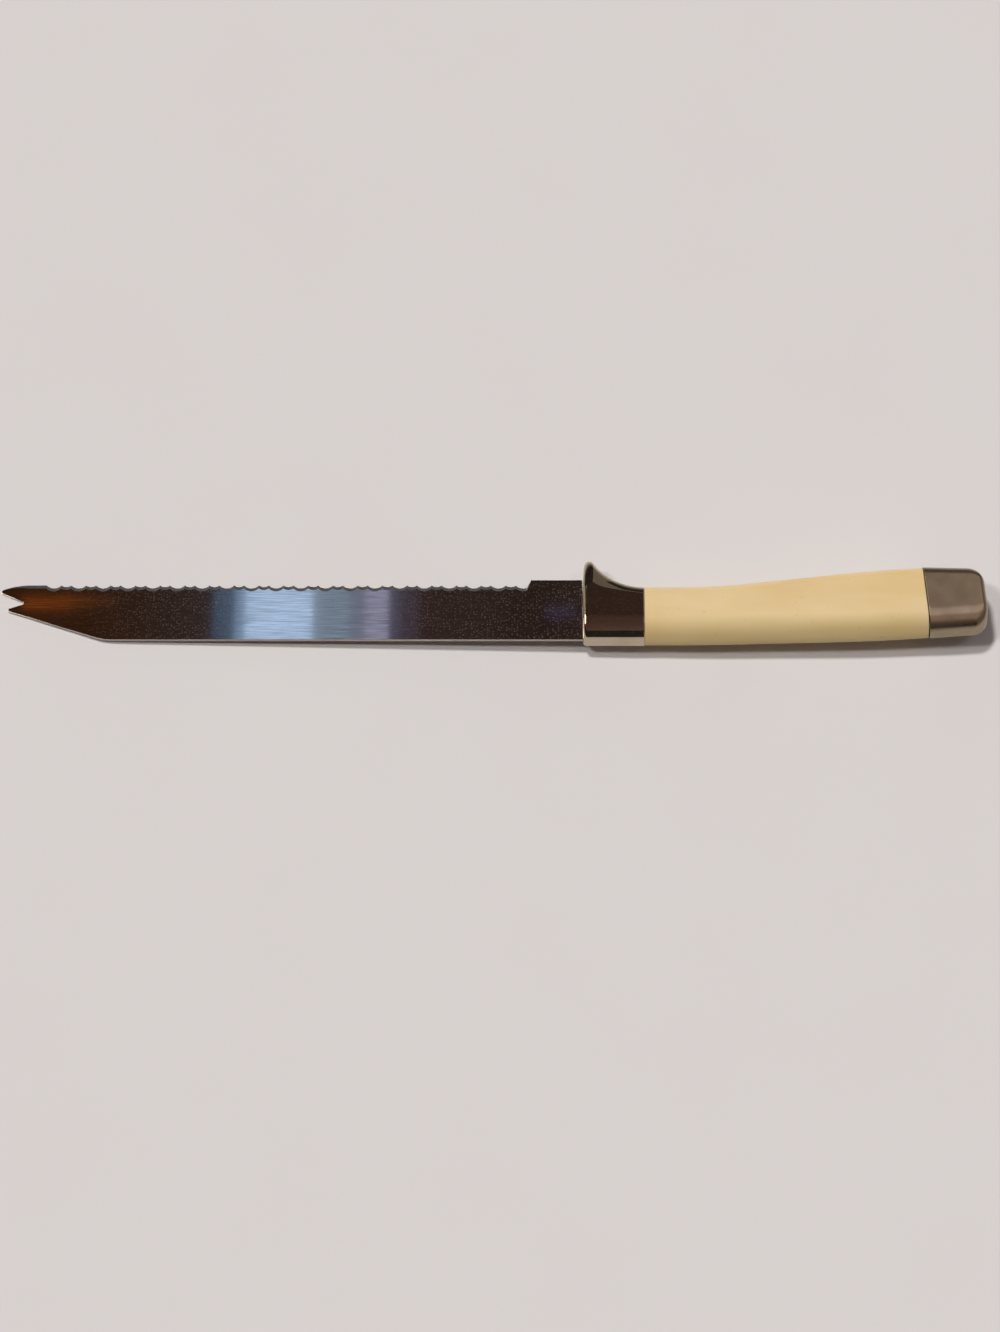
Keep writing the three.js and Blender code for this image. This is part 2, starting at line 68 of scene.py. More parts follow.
def linear(colour: str) -> Rgba:
    """Turn an sRGB hex colour into linear light.

    Args:
        colour: six hex digits, red first.

    Returns:
        Red, green and blue in linear light, and an alpha of 1.
    """
    parts = np.array([int(colour[at:at + 2], 16) for at in (0, 2, 4)]) / 255
    light = np.where(parts <= 0.04045, parts / 12.92, ((parts + 0.055) / 1.055) ** 2.4)
    return (*light.tolist(), 1.0)


def add_node(tree: bpy.types.NodeTree, kind: str, inputs: dict[str, Any] | list[Any] | None = None,
             **settings: Any) -> bpy.types.Node:
    """Add a shader node, with its settings and its inputs.

    Args:
        tree: the node tree that takes the node.
        kind: the node's type, without the words that all shader nodes share.
        inputs: values for its sockets, by name or in order; a text is an sRGB hex colour, another node's
            socket is linked, and of a node the first socket in use.
        settings: the node's own properties.

    Returns:
        The new node.
    """
    node = tree.nodes.new("ShaderNode" + kind)
    for name, value in settings.items():
        setattr(node, name, value)
    for key, value in inputs.items() if isinstance(inputs, dict) else enumerate(inputs or []):
        if isinstance(value, bpy.types.Node):
            value = next(socket for socket in value.outputs if socket.enabled)
        if isinstance(value, str):
            value = linear(value)
        if isinstance(value, bpy.types.NodeSocket):
            tree.links.new(value, node.inputs[key])
        else:
            node.inputs[key].default_value = value
    return node


@dataclass(frozen=True)
class Place:
    """Where the knife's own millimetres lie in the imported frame.

    Attributes:
        origin: the point on the rod's axis at the bolster's front face, in metres.
    """

    origin: Vector

    @classmethod
    def from_frame(cls) -> "Place":
        """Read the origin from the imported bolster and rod.

        Returns:
            The place of the knife's millimetres.
        """
        bolster_low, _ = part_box("bolster_guard")
        rod_low, rod_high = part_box("tang_rod")
        axis = (rod_low + rod_high) / 2
        return cls(Vector((bolster_low.x, axis.y, axis.z)))

    def metres(self, points: Array) -> Array:
        """Turn points in the knife's millimetres into the frame's metres."""
        return np.asarray(points) * MM + np.array(self.origin)


@dataclass
class Skin:
    """A closed surface on its way to becoming a mesh.

    Attributes:
        points: all corners, in the knife's millimetres.
        faces: the corners of each face, turned outwards.
        finish_of_face: number of each face's finish.
    """

    points: Array
    faces: list[list[int]]
    finish_of_face: list[int] = field(default_factory=list)

    @classmethod
    def from_rings(cls, rings: Array, joined: bool = False) -> "Skin":
        """Skin rings of equal count: point (i, j) of the grid joins (i + 1, j) and (i, j + 1).

        Args:
            rings: grid of shape (rings, points, 3), each ring running from +Y towards +Z.
            joined: whether the last ring joins the first; otherwise flat faces close both ends.

        Returns:
            The closed surface.
        """
        count, around = rings.shape[:2]
        here = np.arange(count * around).reshape(count, around)
        beside = np.roll(here, -1, axis=1)
        rows = slice(None) if joined else slice(0, -1)
        ahead, ahead_beside = np.roll(here, -1, axis=0)[rows], np.roll(beside, -1, axis=0)[rows]
        quads = np.stack([here[rows], beside[rows], ahead_beside, ahead], axis=-1).reshape(-1, 4).tolist()
        ends = [] if joined else [here[0, ::-1].tolist(), here[-1].tolist()]
        return cls(rings.reshape(-1, 3), quads + ends)

    def build(self, name: str, place: Place, finishes: list[bpy.types.Material]) -> bpy.types.Object:
        """Make the mesh object: end faces stay flat, other edges are sharp only at a clear angle.

        Args:
            name: the piece's name.
            place: where the knife's millimetres lie.
            finishes: the materials that the faces' numbers pick from.

        Returns:
            The object, at the origin.
        """
        mesh = bpy.data.meshes.new(name)
        mesh.from_pydata(place.metres(self.points).tolist(), [], self.faces)
        for finish in finishes:
            mesh.materials.append(finish)
        if self.finish_of_face:
            mesh.polygons.foreach_set("material_index", self.finish_of_face)
        mesh.set_sharp_from_angle(angle=SHARP_ANGLE)
        mesh.polygons.foreach_set("use_smooth", [len(face) <= 4 for face in self.faces])
        mesh.update()
        piece = bpy.data.objects.new(name, mesh)
        bpy.context.scene.collection.objects.link(piece)
        return piece


def mount(piece: bpy.types.Object, node: str) -> None:
    """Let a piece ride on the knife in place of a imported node.

    Args:
        piece: the dressed piece.
        node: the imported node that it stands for.
    """
    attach(piece, BODY)
    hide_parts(node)
    LOG.info("%s stands for %s, %d faces", piece.name, node, len(piece.data.polygons))


def rounded_end(radius: float, from_end: Array) -> Array:
    """How far a quarter-round of the given radius has drawn in: r - sqrt(r^2 - (r - d)^2) at distance d."""
    reach = np.clip(radius - np.asarray(from_end, float), 0, radius)
    return radius - np.sqrt(radius ** 2 - reach ** 2)


@dataclass(frozen=True)
class Sections:
    """Stations of a flat-sided form with a full rounding over its top edge and a flatter arc below.

    Attributes:
        x: station along the knife.
        middle: height about which the ring leans.
        lean: angle of the ring's plane from square.
        top: upper edge in the section's own plane.
        bottom: lower edge.
        top_round: height of the rounding under the upper edge.
        bottom_round: height of the rounding over the lower edge.
        half: half of the thickness.
        fullness: exponent of the upper rounding's curve; 2 would be a plain ellipse.
        low_turn: angle through which the lower rounding turns; a right angle makes it half an ellipse.
        taper: share of the thickness that is lost from the flat's upper end to the upper edge.
        soft: share of the rounding's height over which that loss sets in.
    """

    x: Array
    middle: Array
    lean: Array
    top: Array
    bottom: Array
    top_round: Array
    bottom_round: Array
    half: Array
    fullness: float = 3.0
    low_turn: float = np.pi / 2
    taper: Array | float = 0.0
    soft: float = 0.1
    QUARTER: ClassVar[int] = 20
    BESIDE: ClassVar[float] = 0.05
    FOOT: ClassVar[tuple[float, ...]] = (0.3, 0.2, 0.13, 0.08, 0.04, 0.0)

    def rings(self) -> Array:
        """Points of every ring, from the upper edge down the +Z side and back, then leaned.

        With a rise u = cos(a)^(2/n) over the flat's end, z = half * (1 - u^n)^(1/n) * (1 - taper * v),
        where v = sqrt(u^2 + soft^2) - soft rounds the crease off. At the bottom the section is an arc of t,
        stretched to its height and thickness: z = half * (cos a - cos t) / (1 - cos t) at a fall of
        sin a / sin t. Close beside both ends of the flat stand more points, which keep it flat.

        Returns:
            Grid of shape (stations, points, 3).
        """
        quarter = np.linspace(0, np.pi / 2, self.QUARTER + 1)
        columns = [np.broadcast_to(np.asarray(value, float), np.shape(self.x))[:, None]
                   for value in (self.x, self.middle, self.lean, self.top, self.bottom,
                                 self.top_round, self.bottom_round, self.half, self.taper)]
        x, middle, lean, top, bottom, top_round, bottom_round, half, taper = columns
        rise = np.append(np.cos(quarter[:-1]) ** (2 / self.fullness), self.FOOT)
        drawn = np.sqrt(rise ** 2 + self.soft ** 2) - self.soft
        reach = (1 - rise ** self.fullness) ** (1 / self.fullness) * (1 - taper * drawn)
        upper = top - top_round + top_round * rise
        turn = quarter * self.low_turn / quarter[-1]
        lower = bottom + bottom_round - bottom_round * np.sin(turn) / np.sin(self.low_turn)
        thin = (np.cos(turn) - np.cos(self.low_turn)) / (1 - np.cos(self.low_turn))
        share = np.array([self.BESIDE, 1 - self.BESIDE])
        flat = upper[:, -1:] * (1 - share) + lower[:, :1] * share
        height = np.concatenate([upper, flat, lower], axis=1)
        depth = np.concatenate([half * reach, np.repeat(half, share.size, axis=1),
                                half * thin], axis=1)
        height = np.concatenate([height, height[:, -2:0:-1]], axis=1) - middle
        depth = np.concatenate([depth, -depth[:, -2:0:-1]], axis=1)
        return np.stack([x - height * np.sin(lean), middle + height * np.cos(lean), depth], axis=-1)


def round_rings(x: list[float], radius: list[float], count: int) -> Array:
    """Circles about the rod's axis: (x, r cos a, r sin a).

    Args:
        x: station of each circle.
        radius: radius of each circle.
        count: points on each circle.

    Returns:
        Grid of shape (circles, count, 3).
    """
    angle = np.linspace(0, 2 * np.pi, count, endpoint=False)
    size = np.asarray(radius, float)[:, None]
    along = np.repeat(np.asarray(x, float)[:, None], count, axis=1)
    return np.stack([along, size * np.cos(angle), size * np.sin(angle)], axis=-1)


class Finish:
    """What every finish shares: one surface shader, and patterns measured in millimetres on the object."""

    name: str = ""

    def sockets(self, tree: bpy.types.NodeTree) -> dict[str, Any]:
        """A value, or the node that makes it, for each of the surface shader's sockets, by name."""
        raise NotImplementedError

    def material(self) -> bpy.types.Material:
        """Make the material.

        Returns:
            The material, with its surface shader.
        """
        material = bpy.data.materials.new(self.name)
        material.use_nodes = True
        tree = material.node_tree
        tree.nodes.clear()
        surface = add_node(tree, "BsdfPrincipled", self.sockets(tree))
        add_node(tree, "OutputMaterial", {"Surface": surface})
        return material

    def grid(self, tree: bpy.types.NodeTree, size: Size, turn: float = 0.0) -> bpy.types.Node:
        """Coordinates on the object, counted in steps of a size.

        Args:
            tree: the material's node tree.
            size: the step in millimetres, alike or along X, Y and Z.
            turn: angle by which they are turned about Z.

        Returns:
            The node that gives them.
        """
        coordinates = add_node(tree, "TexCoord")
        return add_node(tree, "Mapping", {
            "Vector": coordinates.outputs["Object"],
            "Rotation": (0.0, 0.0, turn),
            "Scale": tuple(1 / (np.broadcast_to(size, 3) * MM)),
        })

    def pattern(self, tree: bpy.types.NodeTree, size: Size, detail: float = 2.0,
                turn: float = 0.0) -> bpy.types.Node:
        """Soft noise from 0 to 1, with grains of the given size in millimetres, turned about Z."""
        steps = self.grid(tree, size, turn)
        return add_node(tree, "TexNoise", {"Vector": steps, "Scale": 1.0, "Detail": detail})

    def dots(self, tree: bpy.types.NodeTree, spacing: float) -> bpy.types.Node:
        """Round dots seen along Z: each cell's own strength times the nearness to its middle.

        Args:
            tree: the material's node tree.
            spacing: distance between dots, in millimetres.

        Returns:
            The dots, from 0 to 1.
        """
        cells = add_node(tree, "TexVoronoi", {"Vector": self.grid(tree, spacing), "Scale": 1.0},
                         voronoi_dimensions="2D")
        parts = add_node(tree, "SeparateColor", [cells.outputs["Color"]])
        strength = add_node(tree, "MapRange", [parts, *DOT_STRENGTH])
        near = add_node(tree, "MapRange", [cells.outputs["Distance"], *DOT_REACH])
        return add_node(tree, "Math", [strength, near], operation="MULTIPLY")


@dataclass(frozen=True)
class BrushedStainless(Finish):
    """Stainless steel, ground flat and polished lengthwise.

    It gives the eye a dark mirror with fine streaks along the blade and pale specks, fewer at the tip.
    The real streaks and specks are too fine to show, so both are drawn coarser.

    Attributes:
        streak: length, width and depth of a streak, in millimetres.
        speck: distance between specks, in millimetres.
        speck_metal: how metallic a speck is at its middle.
        patch: size of the patches in which specks are stronger, and their stretch of the noise and strength.
        wiped: stretch along the knife over which the specks set in, in the frame's millimetres.
    """

    name: str = "stainless_steel_brushed"
    colour: str = "d6cac0"
    worn: str = "a1948a"
    roughness: tuple[float, float] = (0.02, 0.07)
    streak: tuple[float, float, float] = (10.0, 0.2, 0.2)
    streak_depth: float = 0.0003
    speck: float = 0.95
    speck_metal: float = 0.845
    patch: float = 26.0
    patch_span: tuple[float, float] = (0.3, 0.6)
    patch_strength: tuple[float, float] = (0.65, 1.0)
    wiped: tuple[float, float] = (-160.0, -112.0)
    wiped_strength: tuple[float, float] = (0.15, 1.0)

    def sockets(self, tree: bpy.types.NodeTree) -> dict[str, Any]:
        """Fill the sockets: streaks in tone, roughness and relief, and patches of small dull specks.

        Args:
            tree: the material's node tree.

        Returns:
            A value, or the node that makes it, by the socket's name.
        """
        streaks = self.pattern(tree, self.streak, detail=4.0)
        along = add_node(tree, "SeparateXYZ", [self.grid(tree, 1.0)]).outputs["X"]
        patches = self.pattern(tree, self.patch)
        uneven = add_node(tree, "MapRange", [patches, *self.patch_span, *self.patch_strength])
        wiped = add_node(tree, "MapRange", [along, *self.wiped, *self.wiped_strength])
        strength = add_node(tree, "Math", [uneven, wiped], operation="MULTIPLY")
        dull = add_node(tree, "Math", [self.dots(tree, self.speck), strength], operation="MULTIPLY")
        bright = add_node(tree, "MapRange", [streaks, *NOISE_SPAN])
        tone = add_node(tree, "Mix", {"Factor": bright, "A": self.worn, "B": self.colour}, data_type="RGBA")
        return {
            "Base Color": tone,
            "Roughness": add_node(tree, "MapRange", [streaks, *NOISE_SPAN[::-1], *self.roughness]),
            "Metallic": add_node(tree, "MapRange", [dull, 0.0, 1.0, 1.0, self.speck_metal]),
            "Normal": add_node(tree, "Bump", {"Height": streaks, "Distance": self.streak_depth * MM}),
        }


@dataclass(frozen=True)
class GroundEdge(Finish):
    """Stainless steel fresh from the grinding wheel.

    It gives the eye a hazy grey, without the blade's mirror. The wheel's lines run across the edge, and are
    drawn coarser than they are, so that they show.
    """

    name: str = "stainless_steel_ground"
    colour: str = "7a7b7e"
    roughness: tuple[float, float] = (0.36, 0.5)
    line: tuple[float, float, float] = (0.22, 3.0, 3.0)
    line_depth: float = 0.004

    def sockets(self, tree: bpy.types.NodeTree) -> dict[str, Any]:
        """Fill the sockets: the tool's lines in roughness and relief.

        Args:
            tree: the material's node tree.

        Returns:
            A value, or the node that makes it, by the socket's name.
        """
        lines = self.pattern(tree, self.line)
        return {
            "Base Color": self.colour,
            "Metallic": 1.0,
            "Roughness": add_node(tree, "MapRange", [lines, *NOISE_SPAN, *self.roughness]),
            "Normal": add_node(tree, "Bump", {"Height": lines, "Distance": self.line_depth * MM}),
        }


@dataclass(frozen=True)
class TurnedSteel(GroundEdge):
    """Plain turned steel of the hidden rod, washers and nut.

    It gives the eye a grey sheen with the tool's rings, which are drawn coarser than they are.
    """

    name: str = "steel_turned"
    colour: str = "a9a8a4"
    roughness: tuple[float, float] = (0.3, 0.45)
    line: tuple[float, float, float] = (0.4, 8.0, 8.0)
    line_depth: float = 0.01


@dataclass(frozen=True)
class PolishedNickel(Finish):
    """Bright nickel plate over a casting.

    It gives the eye a warm mirror, slightly wavy, with fine rubbing marks and dull specks. Marks and specks
    are drawn coarser than they are, so that they show.
    """

    name: str = "nickel_plate_polished"
    colour: str = "bfb29c"
    worn: str = "b3a48c"
    roughness: tuple[float, float] = (0.03, 0.09)
    wave: float = 7.0
    wave_depth: float = 0.006
    worn_span: tuple[float, float] = (0.45, 0.75)
    worn_share: float = 0.6
    rub: tuple[float, float, float] = (3.5, 0.4, 0.4)
    rub_turn: float = 0.35
    rub_span: tuple[float, float] = (0.4, 0.75)
    speck: float = 0.9
    speck_metal: float = 0.955

    def sockets(self, tree: bpy.types.NodeTree) -> dict[str, Any]:
        """Fill the sockets: cast waviness in relief and tone, rubbing marks in roughness, and dull specks.

        Args:
            tree: the material's node tree.

        Returns:
            A value, or the node that makes it, by the socket's name.
        """
        waves = self.pattern(tree, self.wave, detail=1.0)
        rubs = self.pattern(tree, self.rub, detail=3.0, turn=self.rub_turn)
        specks = self.dots(tree, self.speck)
        worn = add_node(tree, "MapRange", [waves, *self.worn_span, 0.0, self.worn_share])
        tone = add_node(tree, "Mix", {"Factor": worn, "A": self.colour, "B": self.worn}, data_type="RGBA")
        return {
            "Base Color": tone,
            "Metallic": add_node(tree, "MapRange", [specks, 0.0, 1.0, 1.0, self.speck_metal]),
            "Roughness": add_node(tree, "MapRange", [rubs, *self.rub_span, *self.roughness]),
            "Normal": add_node(tree, "Bump", {"Height": waves, "Distance": self.wave_depth * MM}),
        }


@dataclass(frozen=True)
class SatinNickel(Finish):
    """Nickel plate that hands have dulled.

    It gives the eye a hazy brown-grey sheen with soft smudges. Its rubbed streaks are drawn coarser than
    they are, so that they show.
    """

    name: str = "nickel_plate_satin"
    colour: str = "9e917c"
    worn: str = "978a75"
    roughness: tuple[float, float] = (0.2, 0.26)
    smudge: float = 6.0
    smudge_span: tuple[float, float] = (0.35, 0.7)
    rub: tuple[float, float, float] = (0.35, 6.0, 6.0)
    rub_depth: float = 0.0015

    def sockets(self, tree: bpy.types.NodeTree) -> dict[str, Any]:
        """Fill the sockets: smudges in tone and roughness, rubbed streaks in relief.

        Args:
            tree: the material's node tree.

        Returns:
            A value, or the node that makes it, by the socket's name.
        """
        smudges = self.pattern(tree, self.smudge, detail=3.0)
        worn = add_node(tree, "MapRange", [smudges, *self.smudge_span])
        rubs = self.pattern(tree, self.rub)
        tone = add_node(tree, "Mix", {"Factor": worn, "A": self.colour, "B": self.worn}, data_type="RGBA")
        return {
            "Base Color": tone,
            "Metallic": 1.0,
            "Roughness": add_node(tree, "MapRange", [smudges, *self.smudge_span, *self.roughness]),
            "Normal": add_node(tree, "Bump", {"Height": rubs, "Distance": self.rub_depth * MM}),
        }


@dataclass(frozen=True)
class CreamPlastic(Finish):
    """Cream moulded plastic, aged to ivory.

    It gives the eye half gloss, faint clouds, a few fine specks and painted shade that darkens its lower
    side.
    The moulded grain is drawn coarser than it is, so that it shows.

    Attributes:
        cloud: size of the clouds along X, Y and Z, in millimetres.
        speck: size of a speck, and the stretch of the noise and the share that it takes.
        painted_shade_span: where across the knife the painted shade sets in and is full, in the frame's
            millimetres.
        painted_shade_turn: slope of the grip's lower edge, along which the painted shade lies.
    """

    name: str = "moulded_plastic_cream"
    colour: str = "dcc395"
    aged: str = "d5b985"
    ior: float = 1.5
    roughness: tuple[float, float] = (0.30, 0.42)
    cloud: tuple[float, float, float] = (30.0, 9.0, 9.0)
    grain: float = 0.7
    grain_depth: float = 0.004
    speck: float = 1.1
    speck_colour: str = "b8935c"
    speck_span: tuple[float, float] = (0.80, 0.86)
    speck_share: float = 0.5
    painted_shade_span: tuple[float, float] = (-8.5, -14.3)
    painted_shade_turn: float = radians(-1.6)
    painted_shade_colour: str = "e6e6da"

    def sockets(self, tree: bpy.types.NodeTree) -> dict[str, Any]:
        """Fill the sockets: long clouds of tone, rare specks, painted shade on the lower side and a fine
        moulded grain.

        Args:
            tree: the material's node tree.

        Returns:
            A value, or the node that makes it, by the socket's name.
        """
        grain = self.pattern(tree, self.grain, detail=3.0)
        aged = add_node(tree, "MapRange", [self.pattern(tree, self.cloud), *NOISE_SPAN])
        specks = self.pattern(tree, self.speck, detail=0.0)
        rare = add_node(tree, "MapRange", [specks, *self.speck_span, 0.0, self.speck_share])
        # Painted shade: the colour darkens towards the grip's lower edge, standing in for light falling off
        # there.
        height = add_node(tree, "SeparateXYZ", [self.grid(tree, 1.0, self.painted_shade_turn)]).outputs["Y"]
        painted_shade = add_node(tree, "MapRange", [height, *self.painted_shade_span])
        tone = add_node(tree, "Mix", {"Factor": aged, "A": self.colour, "B": self.aged}, data_type="RGBA")
        marked = add_node(tree, "Mix", {"Factor": rare, "A": tone, "B": self.speck_colour}, data_type="RGBA")
        shaded = add_node(tree, "Mix", {"Factor": painted_shade, "A": marked, "B": self.painted_shade_colour},
                          data_type="RGBA", blend_type="MULTIPLY")
        return {
            "Base Color": shaded,
            "IOR": self.ior,
            "Roughness": add_node(tree, "MapRange", [grain, *NOISE_SPAN, *self.roughness]),
            "Normal": add_node(tree, "Bump", {"Height": grain, "Distance": self.grain_depth * MM}),
        }


@dataclass(frozen=True)
class PaintedJointShade(Finish):
    """Plastic in the joint under the cap: a dull dark brown line with blots, painted shade in the gap."""

    name: str = "moulded_plastic_painted_joint_shade"
    colour: str = "3a2716"
    pale: str = "6b4c2c"
    roughness: float = 0.8
    blot: float = 2.5
    blot_span: tuple[float, float] = (0.35, 0.7)

    def sockets(self, tree: bpy.types.NodeTree) -> dict[str, Any]:
        """Fill the sockets: blots in tone.

        Args:
            tree: the material's node tree.

        Returns:
            A value, or the node that makes it, by the socket's name.
        """
        blots = add_node(tree, "MapRange", [self.pattern(tree, self.blot), *self.blot_span])
        tone = add_node(tree, "Mix", {"Factor": blots, "A": self.colour, "B": self.pale}, data_type="RGBA")
        return {
            "Base Color": tone,
            "Roughness": self.roughness,
        }


@dataclass(frozen=True)
class SetCement(Finish):
    """Set filler cement: dull and brown-grey, with its grit drawn coarser than it is."""

    name: str = "cement_set"
    colour: str = "7a6f63"
    pale: str = "96897a"
    roughness: float = 0.9
    grain: float = 0.9
    grain_depth: float = 0.08

    def sockets(self, tree: bpy.types.NodeTree) -> dict[str, Any]:
        """Fill the sockets: coarse grain in tone and relief.

        Args:
            tree: the material's node tree.

        Returns:
            A value, or the node that makes it, by the socket's name.
        """
        grain = self.pattern(tree, self.grain, detail=4.0)
        tone = add_node(tree, "Mix", {"Factor": grain, "A": self.colour, "B": self.pale}, data_type="RGBA")
        return {
            "Base Color": tone,
            "Roughness": self.roughness,
            "Normal": add_node(tree, "Bump", {"Height": grain, "Distance": self.grain_depth * MM}),
        }


@dataclass(frozen=True)
class PaleFloor(Finish):
    """Pale matt floor: plain, without gloss and with the least variation of tone."""

    name: str = "floor_pale"
    colour: str = "d3cfcd"
    other: str = "d0cbc9"
    roughness: float = 0.95
    cloud: float = 60.0

    def sockets(self, tree: bpy.types.NodeTree) -> dict[str, Any]:
        """Fill the sockets: faint clouds in tone.

        Args:
            tree: the material's node tree.

        Returns:
            A value, or the node that makes it, by the socket's name.
        """
        clouds = self.pattern(tree, self.cloud, detail=4.0)
        tone = add_node(tree, "Mix", {"Factor": clouds, "A": self.colour, "B": self.other}, data_type="RGBA")
        return {
            "Base Color": tone,
            "Roughness": self.roughness,
            "Specular IOR Level": 0.0,
        }


@dataclass
class Blade:
    """Forked, scalloped blade with its tang. Sizes are in millimetres."""

    length: float = 203.2
    width: float = 20.8
    spine_thickness: float = 1.9
    edge_thickness: float = 0.7
    bevel: float = 1.4
    ricasso_length: float = 17.9
    ricasso_rise: float = 1.8
    ricasso_step: float = 1.2
    serration_start: float = 15.4
    large_chord: float = 5.16
    large_depth: float = 1.1
    small_chord: float = 3.5
    small_depth: float = 0.6
    tip_sweep: float = 9.5
    tip_drop: float = 2.2
    tip_blunt: float = 1.1
    notch_reach: float = 8.7
    notch_drop: float = 7.1
    notch_upper: float = radians(23)
    notch_lower: float = radians(18.5)
    notch_radius: float = 0.5
    short_setback: float = 2.7
    clip_length: float = 36.4
    clip_radius: float = 20.0
    tang_width: float = 5.0
    tang_length: float = 40.0
    rim_radius: float = 0.14
    keen_radius: float = 0.03
    large_steps: int = 16
    small_steps: int = 10
    arc_steps: int = 24
    rim_steps: int = 5

    def half_thickness(self, y: Array) -> Array:
        """Half thickness at a height: it falls evenly from the spine to the points of the teeth."""
        share = (y + self.width / 2) / self.width
        return (self.spine_thickness + (self.edge_thickness - self.spine_thickness) * share) / 2

    def scallop(self, chord: float, depth: float, steps: int, stop: float) -> Array:
        """Points of one hollow, from the end nearer the tip: dip = sqrt(R^2 - (s - c/2)^2) - (R - d).

        Args:
            chord: length of the whole hollow.
            depth: depth of the hollow.
            steps: number of points.
            stop: where the hollow stops, from its start.

        Returns:
            Distance along and height below the teeth, of shape (steps, 2).
        """
        along = np.linspace(0, stop, steps, endpoint=False)
        radius = (chord ** 2 / 4 + depth ** 2) / (2 * depth)
        dip = np.sqrt(radius ** 2 - (along - chord / 2) ** 2) - (radius - depth)
        return np.stack([along, -dip], axis=-1)

    def toothed_edge(self) -> Array:
        """The scalloped edge from the ricasso to the first tooth: pairs of a long and a short hollow.

        Returns:
            Points of x, y and width of bevel, of shape (points, 3).
        """
        pitch = self.large_chord + self.small_chord
        run = self.length - self.serration_start - self.ricasso_length
        pairs = int((run - self.large_chord) // pitch)
        large = self.scallop(self.large_chord, self.large_depth, self.large_steps, self.large_chord)
        small = self.scallop(self.small_chord, self.small_depth, self.small_steps, self.small_chord)
        pair = np.concatenate([large, small + (self.large_chord, 0)])
        starts = np.stack([np.arange(pairs) * pitch, np.zeros(pairs)], axis=-1)
        row = (starts[:, None] + pair).reshape(-1, 2)
        stop = self.large_chord - self.ricasso_step
        last = self.scallop(self.large_chord, self.large_depth, self.large_steps, stop) + (pairs * pitch, 0)
        points = np.concatenate([row, last]) + (self.serration_start - self.length, self.width / 2)
        return np.column_stack([points, np.full(len(points), self.bevel)])[::-1]

    def tip_arc(self) -> Array:
        """The smooth edge from the first tooth to the longer tip, an arc along which the bevel runs out.

        Returns:
            Points of x, y and width of bevel, of shape (points, 3).
        """
        along = np.linspace(self.tip_sweep, 0, self.arc_steps)
        radius = (self.tip_sweep ** 2 + self.tip_drop ** 2) / (2 * self.tip_drop)
        drop = radius - np.sqrt(radius ** 2 - (self.tip_sweep - along) ** 2)
        bevel = self.bevel * along / self.tip_sweep
        return np.column_stack([along - self.length, self.width / 2 - drop, bevel])

    def notch(self) -> Array:
        """The notch between the tips: straight sides that touch a circle of the notch's end radius.

        Returns:
            Points of x, y and width of bevel, of shape (points, 3).
        """
        apex = np.array([self.notch_reach - self.length, self.width / 2 - self.notch_drop])
        half = (self.notch_upper + self.notch_lower) / 2
        axis = np.pi - (self.notch_upper - self.notch_lower) / 2
        centre = apex + self.notch_radius / sin(half) * np.array([cos(axis), sin(axis)])
        angle = axis - np.pi + np.linspace(np.pi / 2 - half, half - np.pi / 2, self.arc_steps)
        end = centre + self.notch_radius * np.stack([np.cos(angle), np.sin(angle)], axis=-1)
        upper = apex + (-self.notch_reach, self.notch_reach * tan(self.notch_upper))
        run = self.notch_reach - self.short_setback
        lower = apex - (run, run * tan(self.notch_lower))
        points = np.vstack([upper, end, lower])
        return np.column_stack([points, np.zeros(len(points))])

    def clip(self, tip: Array) -> Array:
        """The straight clip from the shorter tip and the rounded corner where it meets the spine.

        Args:
            tip: the shorter tip, as x and y, above its blunt end.

        Returns:
            Points of x, y and width of bevel, of shape (points, 3).
        """
        start = np.array([tip[0], tip[1] - self.tip_blunt])
        corner = self.clip_length - self.length
        slope = np.arctan2(start[1] + self.width / 2, corner - start[0])
        turn = np.linspace(slope, 0, self.arc_steps)
        tangent = self.clip_radius * tan(slope / 2)
        x = corner + tangent - self.clip_radius * np.sin(turn)
        y = -self.width / 2 + self.clip_radius * (1 - np.cos(turn))
        points = np.vstack([start, np.column_stack([x, y])])
        return np.column_stack([points, np.zeros(len(points))])

    def outline(self) -> Array:
        """The whole outline, counter-clockwise from above.

        Returns:
            Points of x, y and width of bevel, of shape (points, 3).
        """
        notch = self.notch()
        half_tang = self.tang_width / 2
        top = self.width / 2 + self.ricasso_rise
        square = np.array([
            (0, -self.width / 2), (0, -half_tang), (self.tang_length, -half_tang),
            (self.tang_length, half_tang), (0, half_tang), (0, top), (-self.ricasso_length, top),
        ])
        square = np.column_stack([square, np.zeros(len(square))])
        return np.vstack([self.clip(notch[-1]), square, self.toothed_edge(), self.tip_arc(), notch])

